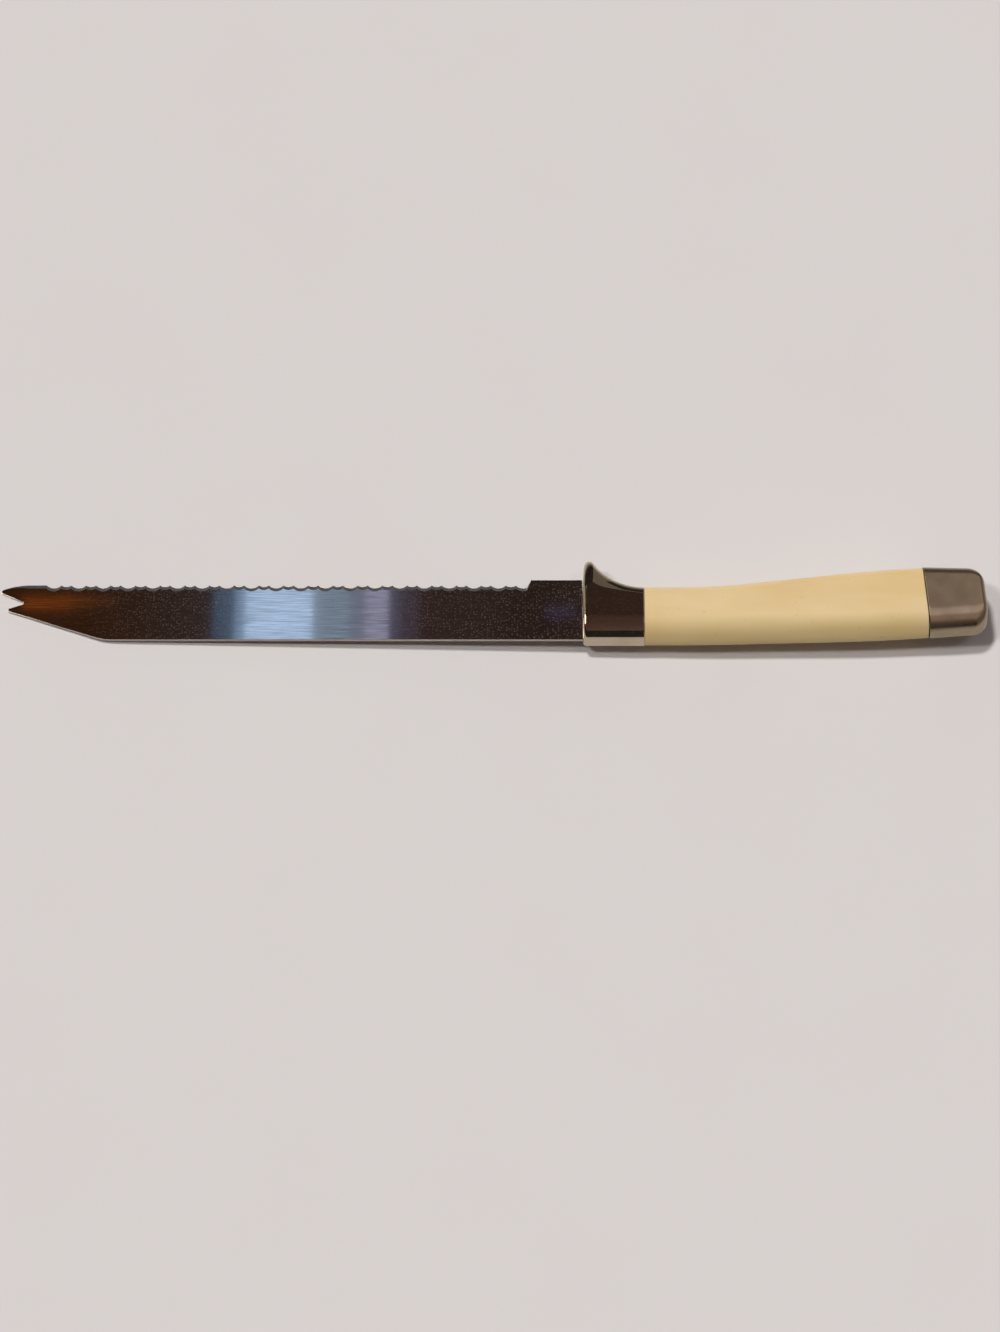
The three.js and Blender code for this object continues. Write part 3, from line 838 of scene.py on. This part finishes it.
    def skin(self) -> Skin:
        """Carry the edge's profile along the outline and close both faces.

        On plain stretches the profile is a straight wall with small quarter-rounds. On the cutting edge it
        runs from a keen edge on the lower face straight up to the end of the bevel on the upper face.

        Returns:
            The blade's surface, with the bevel's faces in the second finish.
        """
        x, y, bevel = self.outline().T
        path = np.column_stack([x, y])
        along = np.roll(path, -1, axis=0) - np.roll(path, 1, axis=0)
        along /= np.linalg.norm(along, axis=1, keepdims=True)
        inward = np.column_stack([-along[:, 1], along[:, 0]])
        keen = (bevel / self.bevel)[:, None]
        turn = np.linspace(0, np.pi / 2, self.rim_steps)[None, :]
        share = np.linspace(0, 1, self.rim_steps)[None, :]
        low_radius = self.rim_radius * (1 - keen) + self.keen_radius * keen
        low_inset = low_radius * (1 - np.sin(turn))
        low = path[:, None] + inward[:, None] * low_inset[..., None]
        low_z = low_radius * (1 - np.cos(turn)) - self.half_thickness(low[..., 1])
        reach = inward * self.rim_radius * (1 - keen) + np.column_stack([np.zeros_like(bevel), -bevel])
        drawn = (1 - np.cos(turn)) * (1 - keen) + share * keen
        high = path[:, None] + reach[:, None] * drawn[..., None]
        top = self.half_thickness(high[..., 1])
        wall_z = top - self.rim_radius * (1 - np.sin(turn))
        bevel_z = low_z[:, -1:] * (1 - share) + top[:, -1:] * share
        high_z = wall_z * (1 - keen) + bevel_z * keen
        low_grid = np.dstack([low, low_z])
        high_grid = np.dstack([high, high_z])[:, 1:]
        grid = np.concatenate([low_grid, high_grid], axis=1)
        count, deep = grid.shape[:2]
        here = np.arange(count * deep).reshape(count, deep)
        ahead = np.roll(here, -1, axis=0)
        quads = np.stack([here[:, :-1], ahead[:, :-1], ahead[:, 1:], here[:, 1:]], axis=-1)
        ground = np.zeros((count, deep - 1), int)
        ground[:, self.rim_steps - 1:] = (np.minimum(bevel, np.roll(bevel, -1)) > 0)[:, None]
        faces = quads.reshape(-1, 4).tolist() + [here[::-1, 0].tolist(), here[:, -1].tolist()]
        return Skin(grid.reshape(-1, 3), faces, ground.ravel().tolist() + [0, 0])

    def dress(self, place: Place) -> None:
        """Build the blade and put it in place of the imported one."""
        finishes = [BrushedStainless().material(), GroundEdge().material()]
        mount(self.skin().build("blade_ground", place, finishes), "blade")


@dataclass
class GripLine:
    """The middle line and height of the grip, shared by bolster, grip and cap. Sizes are in millimetres."""

    front: float = 21.5
    length: float = 98.1
    thickness: float = 13.0
    top_round: float = 3.6
    bottom_round: float = 8.8
    bottom_turn: float = radians(73)
    front_height: float = 20.4
    rear_height: float = 25.0
    front_drop: float = 2.0
    bend_start: float = 12.0
    bend_length: float = 24.0
    bend_angle: float = radians(3.9)
    swell_start: float = 15.0
    swell_length: float = 75.0
    cap_length: float = 21.0
    cap_rear_height: float = 23.3
    cap_angle: float = radians(1.6)
    cap_corner: float = 5.2
    cap_rim: float = 1.8
    proud: float = 0.2

    @property
    def rim(self) -> float:
        """Where the cap starts."""
        return self.front + self.length

    @property
    def butt(self) -> float:
        """Where the cap ends."""
        return self.rim + self.cap_length

    def slope(self, x: Array) -> Array:
        """Slope of the middle line: it grows evenly over the bend."""
        return tan(self.bend_angle) * np.clip((x - self.front - self.bend_start) / self.bend_length, 0, 1)

    def middle(self, x: Array) -> Array:
        """Height of the middle line: the slope summed along the grip.

        Args:
            x: stations along the knife.

        Returns:
            Height at each station.
        """
        past = np.asarray(x, float) - self.front - self.bend_start
        bent = np.clip(past, 0, self.bend_length)
        straight = np.clip(past - self.bend_length, 0, None)
        return -self.front_drop + tan(self.bend_angle) * (bent ** 2 / (2 * self.bend_length) + straight)

    def half_height(self, x: Array) -> Array:
        """Half height: it swells by 3t^2 - 2t^3 between the front's and the rear's.

        Args:
            x: stations along the knife.

        Returns:
            Half height at each station.
        """
        share = np.clip((x - self.front - self.swell_start) / self.swell_length, 0, 1)
        share = share ** 2 * (3 - 2 * share)
        return (self.front_height + (self.rear_height - self.front_height) * share) / 2

    def grip(self, x: Array, inset: Array) -> Array:
        """Rings of the grip: its section about the middle line, taken in by an inset.

        Args:
            x: stations along the knife.
            inset: inset of each ring.

        Returns:
            Grid of shape (stations, points, 3).
        """
        x, inset = np.asarray(x, float), np.asarray(inset, float)
        middle, half = self.middle(x), self.half_height(x) - inset
        return Sections(x, middle, np.arctan(self.slope(x)), middle + half, middle - half,
                        self.top_round - inset, self.bottom_round - inset, self.thickness / 2 - inset,
                        low_turn=self.bottom_turn).rings()

    def cap(self, x: Array, inset: Array, end: float = np.inf) -> Array:
        """Rings of the cap: its height falls evenly to the butt, whose rounding draws the last ones in.

        Args:
            x: stations along the knife.
            inset: inset of each ring.
            end: where the rounding ends; without it there is none.

        Returns:
            Grid of shape (stations, points, 3).
        """
        x, inset = np.asarray(x, float), np.asarray(inset, float)
        share = (x - self.rim) / self.cap_length
        front, rear = self.half_height(self.rim), self.cap_rear_height / 2 - self.proud
        corner = rounded_end(self.cap_corner, end - x)
        half = front + (rear - front) * share - inset - corner
        left = half / (half + corner)
        middle = self.middle(self.rim) + (x - self.rim) * tan(self.cap_angle)
        thin = self.thickness / 2 - inset - rounded_end(self.cap_rim, end - x)
        return Sections(x, middle, np.full_like(x, self.bend_angle), middle + half, middle - half,
                        (self.top_round - inset) * left, (self.bottom_round - inset) * left, thin,
                        low_turn=self.bottom_turn).rings()


@dataclass
class Bolster:
    """Cast bolster with its finger guard. Sizes are in millimetres."""

    line: GripLine
    front_radius: float = 1.4
    rear_radius: float = 0.4
    guard_rise: float = 10.2
    guard_set_in: float = 0.3
    tip_radius: float = 2.1
    crease_rise: float = 3.0
    facet_taper: float = 0.14
    tip_taper: float = 0.22
    tip_taper_run: float = 4.8
    edge_fullness: float = 5.0
    guard_front_radius: float = 0.3
    guard_front_start: float = 9.0
    guard_front_run: float = 3.0
    guard_set_back: float = 0.4
    guard_set_back_run: float = 5.0
    socket_depth: float = 6.3
    socket_wall: float = 2.0
    front_steps: int = 10
    tip_steps: int = 16
    hollow_steps: int = 40

    def guard_line(self, x: Array) -> Array:
        """Top line: a circle at the guard's tip that touches one hollow arc, level at the rear end.

        Args:
            x: stations along the knife.

        Returns:
            Height of the guard at each station.
        """
        top = self.line.middle(self.line.front) + self.line.front_height / 2 - self.guard_set_in
        run, fall = self.line.front - self.tip_radius, self.guard_rise - self.tip_radius
        radius = (run ** 2 + fall ** 2 - self.tip_radius ** 2) / (2 * self.guard_rise)
        touch = self.tip_radius * (1 + run / (radius + self.tip_radius))
        round_tip = np.sqrt(np.clip(self.tip_radius ** 2 - (x - self.tip_radius) ** 2, 0, None))
        hollow = radius - np.sqrt(radius ** 2 - (self.line.front - np.maximum(x, touch)) ** 2)
        return top + np.where(x < touch, fall + round_tip, hollow)

    def outside(self) -> Array:
        """Rings of the outside: the grip's section with its upper edge led along the guard.

        Up the guard the front edge is tighter, and the front face leans back: with a rise u from 0 to 1,
        z grows by u times the difference of the two roundings, and x by u times a set-back that runs out.

        Returns:
            Grid of shape (stations, points, 3).
        """
        line, length = self.line, self.line.front
        front = self.front_radius * (1 - np.cos(np.linspace(0, np.pi / 2, self.front_steps)))
        tip = np.linspace(self.front_radius, 2 * self.tip_radius, self.tip_steps)[1:]
        hollow = np.linspace(2 * self.tip_radius, length - self.rear_radius, self.hollow_steps)[1:]
        rear = length - self.rear_radius * (1 - np.sin(np.linspace(0, np.pi / 2, self.front_steps)[1:]))
        x = np.concatenate([front, tip, hollow, rear])
        inset = rounded_end(self.front_radius, x) + rounded_end(self.rear_radius, length - x)
        middle, half = line.middle(length), line.front_height / 2 + line.proud
        crease = middle + line.front_height / 2 - line.top_round + self.crease_rise * (1 - x / length)
        top = self.guard_line(x) - inset
        flat = np.zeros_like(x)
        taper = self.facet_taper + self.tip_taper * np.clip(1 - x / self.tip_taper_run, 0, 1) ** 2
        thick = line.thickness / 2 + line.proud
        rings = Sections(x, flat + middle, flat, top, flat + middle - half + inset, top - crease,
                         line.bottom_round + line.proud - inset, thick - inset,
                         self.edge_fullness, line.bottom_turn, taper).rings()
        up = np.clip((rings[..., 1] - self.guard_front_start) / self.guard_front_run, 0, 1)
        gain = rounded_end(self.front_radius, x) - rounded_end(self.guard_front_radius, x)
        rings[..., 2] *= 1 + up * (gain / (thick - inset))[:, None]
        fading = np.clip(1 - x / self.guard_set_back_run, 0, 1)
        rings[..., 0] += self.guard_set_back * up * fading[:, None]
        return rings

    def skin(self) -> Skin:
        """The outside, the rear face and the socket for the grip's spigot, as one run of rings.

        Returns:
            The bolster's surface.
        """
        depth = self.line.front - self.socket_depth
        socket = self.line.grip([self.line.front] * 2, [self.socket_wall - self.line.proud] * 2)
        socket[..., 0] = np.array([self.line.front, depth])[:, None]
        return Skin.from_rings(np.concatenate([self.outside(), socket]))

    def dress(self, place: Place) -> None:
        """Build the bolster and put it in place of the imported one."""
        piece = self.skin().build("bolster_polished", place, [PolishedNickel().material()])
        mount(piece, "bolster_guard")


@dataclass
class Grip:
    """One-piece moulded grip with its spigots and its bore. Sizes are in millimetres."""

    line: GripLine
    lip_radius: float = 0.22
    spigot_inset: float = 2.1
    spigot_length: float = 6.0
    cap_inset: float = 0.9
    cap_lap: float = 11.0
    bore: float = 3.6
    counterbore: float = 5.3
    seat_depth: float = 2.0
    stations: int = 90
    lip_steps: int = 5

    def skin(self) -> Skin:
        """Front spigot, body with rounded lips, rear spigot and bore, as one closed run of rings.

        Returns:
            The grip's surface, with the painted shade of the joint under the cap in the second finish.
        """
        line = self.line
        lip = self.lip_radius * (1 - np.cos(np.linspace(0, np.pi / 2, self.lip_steps)))
        x = np.concatenate([line.front + lip, np.linspace(line.front, line.rim, self.stations)[1:-1],
                            line.rim - lip[::-1]])
        inset = rounded_end(self.lip_radius, x - line.front) + rounded_end(self.lip_radius, line.rim - x)
        body = line.grip(x, inset)
        spigot = line.grip([line.front] * 2, [self.spigot_inset] * 2)
        spigot[..., 0] = np.array([line.front - self.spigot_length, line.front])[:, None]
        end = line.rim + self.cap_lap
        rear = line.cap([line.rim, end], [self.cap_inset] * 2)
        seat = line.rim + self.seat_depth
        holes = round_rings([end, seat, seat, line.front - self.spigot_length],
                            [self.counterbore, self.counterbore, self.bore, self.bore], body.shape[1])
        skin = Skin.from_rings(np.concatenate([spigot, body, rear, holes]), joined=True)
        joint_shade_faces = np.zeros((len(skin.faces) // body.shape[1], body.shape[1]), int)
        # The painted shade of the joint covers the body's rear face and the side of the rear spigot.
        joint_shade_faces[len(spigot) + len(body) - 1:][:2] = 1
        skin.finish_of_face = joint_shade_faces.ravel().tolist()
        return skin

    def dress(self, place: Place) -> None:
        """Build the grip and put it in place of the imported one."""
        # The second finish is painted shade in the joint under the cap.
        finishes = [CreamPlastic().material(), PaintedJointShade().material()]
        mount(self.skin().build("grip_moulded", place, finishes), "handle_grip")


@dataclass
class EndCap:
    """Thin drawn cap over the rear end of the grip. Sizes are in millimetres."""

    line: GripLine
    wall: float = 0.8
    gap: float = 0.3
    lip_radius: float = 0.2
    lip_steps: int = 5
    corner_steps: int = 16

    def run(self, end: float, inset: float) -> Array:
        """Rings from just behind the rim to an end, close together where the butt is rounded.

        Args:
            end: where the rings end.
            inset: inset of the rings.

        Returns:
            Grid of shape (stations, points, 3).
        """
        corner = self.line.cap_corner
        start = self.line.rim + self.gap + self.lip_radius
        straight = np.linspace(start, end - corner, self.corner_steps)
        rounded = end - corner + corner * np.sin(np.linspace(0, np.pi / 2, self.corner_steps)[1:])
        x = np.concatenate([straight, rounded])
        return self.line.cap(x, np.full_like(x, inset), end)

    def skin(self) -> Skin:
        """Inside from the butt to the rim, rounded rim and outside back to the butt, as one run of rings.

        Returns:
            The cap's surface.
        """
        line = self.line
        inside = self.run(line.butt - self.wall, self.wall - line.proud)[::-1]
        outside = self.run(line.butt, -line.proud)
        turn = np.linspace(0, np.pi / 2, self.lip_steps)
        rim = line.rim + self.gap
        lip_x = np.concatenate([[rim], rim + self.lip_radius * (1 - np.sin(turn))[:-1]])
        drawn_in = self.lip_radius * (1 - np.sin(turn[::-1]))[:-1]
        lip_inset = np.append(self.wall, drawn_in) - line.proud
        lip = line.cap(lip_x, lip_inset)
        return Skin.from_rings(np.concatenate([inside, lip, outside]))

    def dress(self, place: Place) -> None:
        """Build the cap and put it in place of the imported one."""
        mount(self.skin().build("cap_drawn", place, [SatinNickel().material()]), "end_cap")


@dataclass
class Fastening:
    """The rod, washers, nut and cement inside the grip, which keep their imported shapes."""

    steel: tuple[str, ...] = ("tang_rod", "tang_washer", "spring_washer", "tang_nut")
    filler: tuple[str, ...] = ("cap_cement",)

    def dress(self) -> None:
        """Give the hidden pieces their finishes."""
        for names, finish in ((self.steel, TurnedSteel()), (self.filler, SetCement())):
            material = finish.material()
            for name in names:
                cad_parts[name].material_slots[0].material = material
                LOG.info("%s keeps its packed shape", name)


class Lit(Enum):
    """What a lamp lights: matt surfaces, or only what shines."""

    MATT = "matt"
    SHINE = "shine"


@dataclass(frozen=True)
class Sun:
    """An even disc of light on matt surfaces.

    Attributes:
        name: the lamp's name.
        direction: from the knife to the disc.
        angle: width of the disc, in radians.
        light: light on a face turned to it; where the lamps' sum is pi, a colour shows as it is written.
    """

    name: str
    direction: tuple[float, float, float]
    angle: float
    light: float


@dataclass(frozen=True)
class Strip:
    """A strip overhead that a flat of the knife mirrors towards the camera.

    Attributes:
        name: the lamp's name.
        x: where its mirror image starts and ends along the knife, in millimetres.
        colour: its sRGB colour.
        radiance: its brightness, where 1 is white.
        y: where its mirror image starts and ends across the knife, in millimetres.
        height: height of the mirroring flat, in millimetres.
        slope: how far the flat falls towards the cutting edge.
    """

    name: str
    x: tuple[float, float]
    colour: str
    radiance: float = 1.0
    y: tuple[float, float] = (-20.0, 20.0)
    height: float = 0.65
    slope: float = 0.0288


@dataclass(frozen=True)
class Card:
    """A lit card that only shining surfaces show.

    Attributes:
        name: the lamp's name.
        place: its middle, in metres; it faces the knife.
        size: its width and height, in metres.
        colour: its sRGB colour.
        radiance: its brightness, where 1 is white.
    """

    name: str
    place: tuple[float, float, float]
    size: tuple[float, float]
    colour: str
    radiance: float


@dataclass
class Studio:
    """Floor, light, surroundings and camera. Lengths are in metres, angles in radians.

    Attributes:
        place: where the knife's millimetres lie.
        tilt: angle of the camera's view from straight down.
        distance: from the camera to the point at which it aims.
        lens_per_sensor: focal length as a share of the sensor's longer side.
        sensor: the sensor's longer side, in millimetres.
        aim_mm: the point at which the camera aims.
        optical_height: how far down the picture that point lies.
        floor_size: length of the floor's sides.
        tip_contact_mm: where the blade's tip touches the floor, as x and z.
        heel_contact_mm: where the bolster's heel touches the floor, as x and z.
        suns: lamps for matt surfaces.
        strips: windows, lamps and ceiling overhead, as flats of the knife mirror them.
        far_side: colours of the surroundings beyond the knife, by the sine of their height.
        near_side: the same on the camera's side.
        across: tints overhead, by the direction's part along the knife.
        side_blend: the direction's part across the knife over which near turns to far.
        overhead: sine of the height over which the tints set in.
        cards: lit cards around the knife.
    """

    place: Place
    tilt: float = radians(21.5)
    distance: float = 1.0
    lens_per_sensor: float = 2863 / 1332
    sensor: float = 36.0
    aim_mm: tuple[float, float, float] = (-28.8, -0.84, 0.0)
    optical_height: float = 615 / 1332
    floor_size: float = 40.0
    tip_contact_mm: tuple[float, float] = (-203.2, -0.45)
    heel_contact_mm: tuple[float, float] = (1.2, -6.7)
    suns: tuple[Sun, ...] = (
        Sun("key_left", (-0.55, -0.03, 1.0), radians(8), 0.95),
        Sun("key_right", (0.4, -0.03, 1.0), radians(8), 0.22),
        Sun("far_key", (-0.3, 0.26, 1.0), radians(7), 2.02),
        Sun("fill", (0.0, 0.0, 1.0), radians(150), 0.18),
    )
    strips: tuple[Strip, ...] = (
        Strip("window_dim", (-129.0, -121.4), "375e82"),
        Strip("window_edge", (-121.4, -117.8), "83b0e4"),
        Strip("window_bright", (-117.8, -94.0), "a8d0ff", 1.6),
        Strip("window_grey", (-94.0, -81.0), "86a9cb"),
        Strip("window_grey_end", (-81.0, -76.0), "7890b2"),
        Strip("window_violet", (-76.0, -67.6), "a7b4e0"),
        Strip("window_shade", (-67.6, -63.2), "364462"),
        Strip("window_end", (-63.2, -57.0), "2f3048"),
        Strip("window_far", (-13.0, -2.5), "25294c", 1.0, (-2.5, 2.8)),
        Strip("lamp_amber", (-196.0, -178.3), "824106", 1.0, (1.2, 5.8)),
        Strip("lamp_amber_mid", (-178.3, -171.3), "693710", 1.0, (2.2, 5.8)),
        Strip("lamp_amber_end", (-171.3, -163.3), "4f2f1d", 1.0, (2.6, 5.6)),
        Strip("ceiling_far", (85.0, 300.0), "c4b8b3", 1.0, (-54.0, 70.0), 6.7, 0.0),
        Strip("ceiling_middle", (85.0, 300.0), "f6eaed", 1.0, (-312.0, -54.0), 6.7, 0.0),
        Strip("ceiling_near", (85.0, 300.0), "b5a59e", 1.0, (-553.0, -312.0), 6.7, 0.0),
        Strip("ceiling_low", (85.0, 300.0), "6b5a53", 1.0, (-1200.0, -553.0), 6.7, 0.0),
    )
    far_side: tuple[tuple[float, str], ...] = (
        (0.0, "d2cdc9"), (0.05, "ccc6c2"), (0.2, "a8a19c"), (0.35, "8a807a"), (0.5, "4a403b"),
        (0.6, "2d2829"), (0.75, "2d2829"), (0.9, "403533"), (0.93, "42332f"), (1.0, "564341"),
    )
    near_side: tuple[tuple[float, str], ...] = (
        (0.0, "8a837e"), (0.14, "8a837e"), (0.25, "2d2b2a"), (0.665, "2d2b2a"), (0.7, "6b534e"),
        (1.0, "564341"),
    )
    across: tuple[tuple[float, str], ...] = (
        (-1.0, "ffffff"), (-0.25, "ffffff"), (-0.17, "f9cc94"), (-0.14, "f9cc94"), (-0.11, "ffffff"),
        (-0.01, "ffffff"), (0.014, "d6d6ca"), (0.035, "ffffff"), (1.0, "ffffff"),
    )
    side_blend: tuple[float, float] = (-0.15, 0.1)
    overhead: tuple[float, float] = (0.4, 0.7)
    cards: tuple[Card, ...] = (
        Card("side_card", (0.36, 0.86, 1.15), (0.46, 0.39), "6e6862", 1.0),
        Card("wedge_card", (0.53, 1.09, 0.70), (0.34, 0.73), "6e6862", 1.0),
        Card("end_card", (1.1, 0.17, 0.8), (1.0, 0.9), "867c76", 1.0),
        Card("corner_card", (0.96, -0.68, 0.68), (0.96, 0.99), "7a7068", 1.0),
        Card("near_card", (0.1, -3.0, 0.26), (12.0, 0.9), "ada8a5", 1.0),
        Card("key_glint", (-1.165, 0.143, 1.057), (0.85, 0.8), "fff6e6", 6.0),
        Card("gold_glint", (-1.19, 0.61, 0.837), (0.12, 0.6), "dcbf88", 1.0),
    )

    def camera(self) -> None:
        """Make the camera, which looks down on the knife from its spine's side."""
        data = bpy.data.cameras.new("photo_camera")
        data.sensor_width = self.sensor
        data.lens = self.lens_per_sensor * self.sensor
        data.shift_y = self.optical_height - 0.5
        camera = bpy.data.objects.new("photo_camera", data)
        camera.location = self.eye()
        camera.rotation_euler = (self.tilt, 0.0, 0.0)
        bpy.context.scene.collection.objects.link(camera)
        bpy.context.scene.camera = camera

    def eye(self) -> Vector:
        """Where the camera stands."""
        aim = Vector(self.place.metres(self.aim_mm))
        return aim + self.distance * Vector((0.0, -sin(self.tilt), cos(self.tilt)))

    def floor(self) -> None:
        """Lay the floor under the blade's tip and the bolster's heel, on which the knife rests."""
        tip = self.place.metres((self.tip_contact_mm[0], 0.0, self.tip_contact_mm[1]))
        heel = self.place.metres((self.heel_contact_mm[0], 0.0, self.heel_contact_mm[1]))
        slope = (heel[2] - tip[2]) / (heel[0] - tip[0])
        reach = self.floor_size / 2
        corner = np.array([(-reach, -reach), (reach, -reach), (reach, reach), (-reach, reach)])
        height = heel[2] + slope * (corner[:, 0] - heel[0])
        mesh = bpy.data.meshes.new("floor")
        mesh.from_pydata(np.column_stack([corner, height]).tolist(), [], [(0, 1, 2, 3)])
        mesh.materials.append(PaleFloor().material())
        floor = bpy.data.objects.new("floor", mesh)
        bpy.context.scene.collection.objects.link(floor)

    def hang(self, data: bpy.types.Light, place: Vector, facing: Vector, lit: Lit) -> None:
        """Hang a lamp that lights only matt surfaces, or only what shines.

        Args:
            data: the lamp.
            place: its middle.
            facing: the direction that it faces.
            lit: what it lights.
        """
        lamp = bpy.data.objects.new(data.name, data)
        lamp.location = place
        lamp.rotation_euler = facing.to_track_quat("-Z", "Y").to_euler()
        lamp.visible_camera = False
        lamp.visible_glossy = lit is Lit.SHINE
        lamp.visible_diffuse = lit is Lit.MATT
        bpy.context.scene.collection.objects.link(lamp)

    def hang_sun(self, sun: Sun) -> None:
        """Hang a disc of light that faces the knife.

        Args:
            sun: the disc.
        """
        data = bpy.data.lights.new(sun.name, "SUN")
        data.energy = sun.light
        data.angle = sun.angle
        direction = Vector(sun.direction)
        self.hang(data, direction.normalized(), -direction, Lit.MATT)

    def panel(self, name: str, size: tuple[float, float], colour: str, radiance: float) -> bpy.types.Light:
        """Make an even rectangular lamp: its power is pi times its area times its brightness.

        Args:
            name: the lamp's name.
            size: its width and height, in metres.
            colour: its sRGB colour.
            radiance: its brightness, where 1 is white.

        Returns:
            The lamp.
        """
        data = bpy.data.lights.new(name, "AREA")
        data.shape = "RECTANGLE"
        data.size, data.size_y = size
        data.color = linear(colour)[:3]
        data.energy = radiance * np.pi * size[0] * size[1]
        return data

    def mirrored(self, point_mm: tuple[float, float, float], slope: float) -> Vector:
        """Follow the line of sight from a flat of the knife up to the camera's height.

        Args:
            point_mm: the point on the flat.
            slope: how far the flat falls towards the cutting edge.

        Returns:
            Where the mirrored line r = d - 2 (d . n) n reaches the camera's height.
        """
        eye = self.eye()
        point = Vector(self.place.metres(point_mm))
        normal = Vector((0.0, slope, 1.0)).normalized()
        sight = point - eye
        sight -= 2 * sight.dot(normal) * normal
        return point + sight * ((eye.z - point.z) / sight.z)

    def hang_strip(self, strip: Strip) -> None:
        """Hang a strip at the camera's height, where its mirror image falls on the wanted stretch.

        Args:
            strip: the strip.
        """
        low, high = (self.mirrored((x, y, strip.height), strip.slope) for x, y in zip(strip.x, strip.y))
        data = self.panel(strip.name, (high.x - low.x, high.y - low.y), strip.colour, strip.radiance)
        self.hang(data, (low + high) / 2, Vector((0.0, 0.0, -1.0)), Lit.SHINE)

    def hang_card(self, card: Card) -> None:
        """Hang a card that faces the knife."""
        place = Vector(card.place)
        self.hang(self.panel(card.name, card.size, card.colour, card.radiance), place, -place, Lit.SHINE)

    def surroundings(self) -> None:
        """Colour the world by direction.

        Of a unit direction, Z picks a colour for the far and for the near side, Y blends the two sides,
        and X picks a tint that only directions high overhead take.
        """
        world = bpy.data.worlds.new("studio_surroundings")
        world.use_nodes = True
        tree = world.node_tree
        tree.nodes.clear()
        direction = add_node(tree, "TexCoord").outputs["Generated"]
        x, y, z = add_node(tree, "SeparateXYZ", [direction]).outputs
        halved = add_node(tree, "Math", [x, 0.5, 0.5], operation="MULTIPLY_ADD")
        across = [(at / 2 + 0.5, colour) for at, colour in self.across]
        ramps = []
        for value, stops in ((z, self.far_side), (z, self.near_side), (halved, across)):
            ramps.append(add_node(tree, "ValToRGB", [value]))
            elements = ramps[-1].color_ramp.elements
            for at, colour in stops[1:-1]:
                elements.new(at).color = linear(colour)
            elements[0].color = linear(stops[0][1])
            elements[-1].color = linear(stops[-1][1])
        far, near, tint = ramps
        side = add_node(tree, "MapRange", [y, *self.side_blend])
        high = add_node(tree, "MapRange", [z, *self.overhead])
        mixed = add_node(tree, "Mix", {"Factor": side, "A": near, "B": far}, data_type="RGBA")
        tinted = add_node(tree, "Mix", {"Factor": high, "A": mixed, "B": tint},
                          data_type="RGBA", blend_type="MULTIPLY")
        background = add_node(tree, "Background", {"Color": tinted, "Strength": 1.0})
        add_node(tree, "OutputWorld", {"Surface": background})
        bpy.context.scene.world = world

    def build(self) -> None:
        """Set up everything around the knife."""
        bpy.context.scene.view_settings.view_transform = "Standard"
        self.camera()
        self.floor()
        self.surroundings()
        for sun in self.suns:
            self.hang_sun(sun)
        for strip in self.strips:
            self.hang_strip(strip)
        for card in self.cards:
            self.hang_card(card)
        LOG.info("studio stands with %d strips and %d cards", len(self.strips), len(self.cards))


def main() -> None:
    """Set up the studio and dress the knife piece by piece."""
    logging.basicConfig(level=logging.INFO, format="%(name)s: %(message)s")
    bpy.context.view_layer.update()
    place = Place.from_frame()
    line = GripLine()
    Studio(place).build()
    Blade().dress(place)
    Bolster(line).dress(place)
    Grip(line).dress(place)
    EndCap(line).dress(place)
    Fastening().dress()
    bpy.context.view_layer.update()


if __name__ == "__main__":
    main()
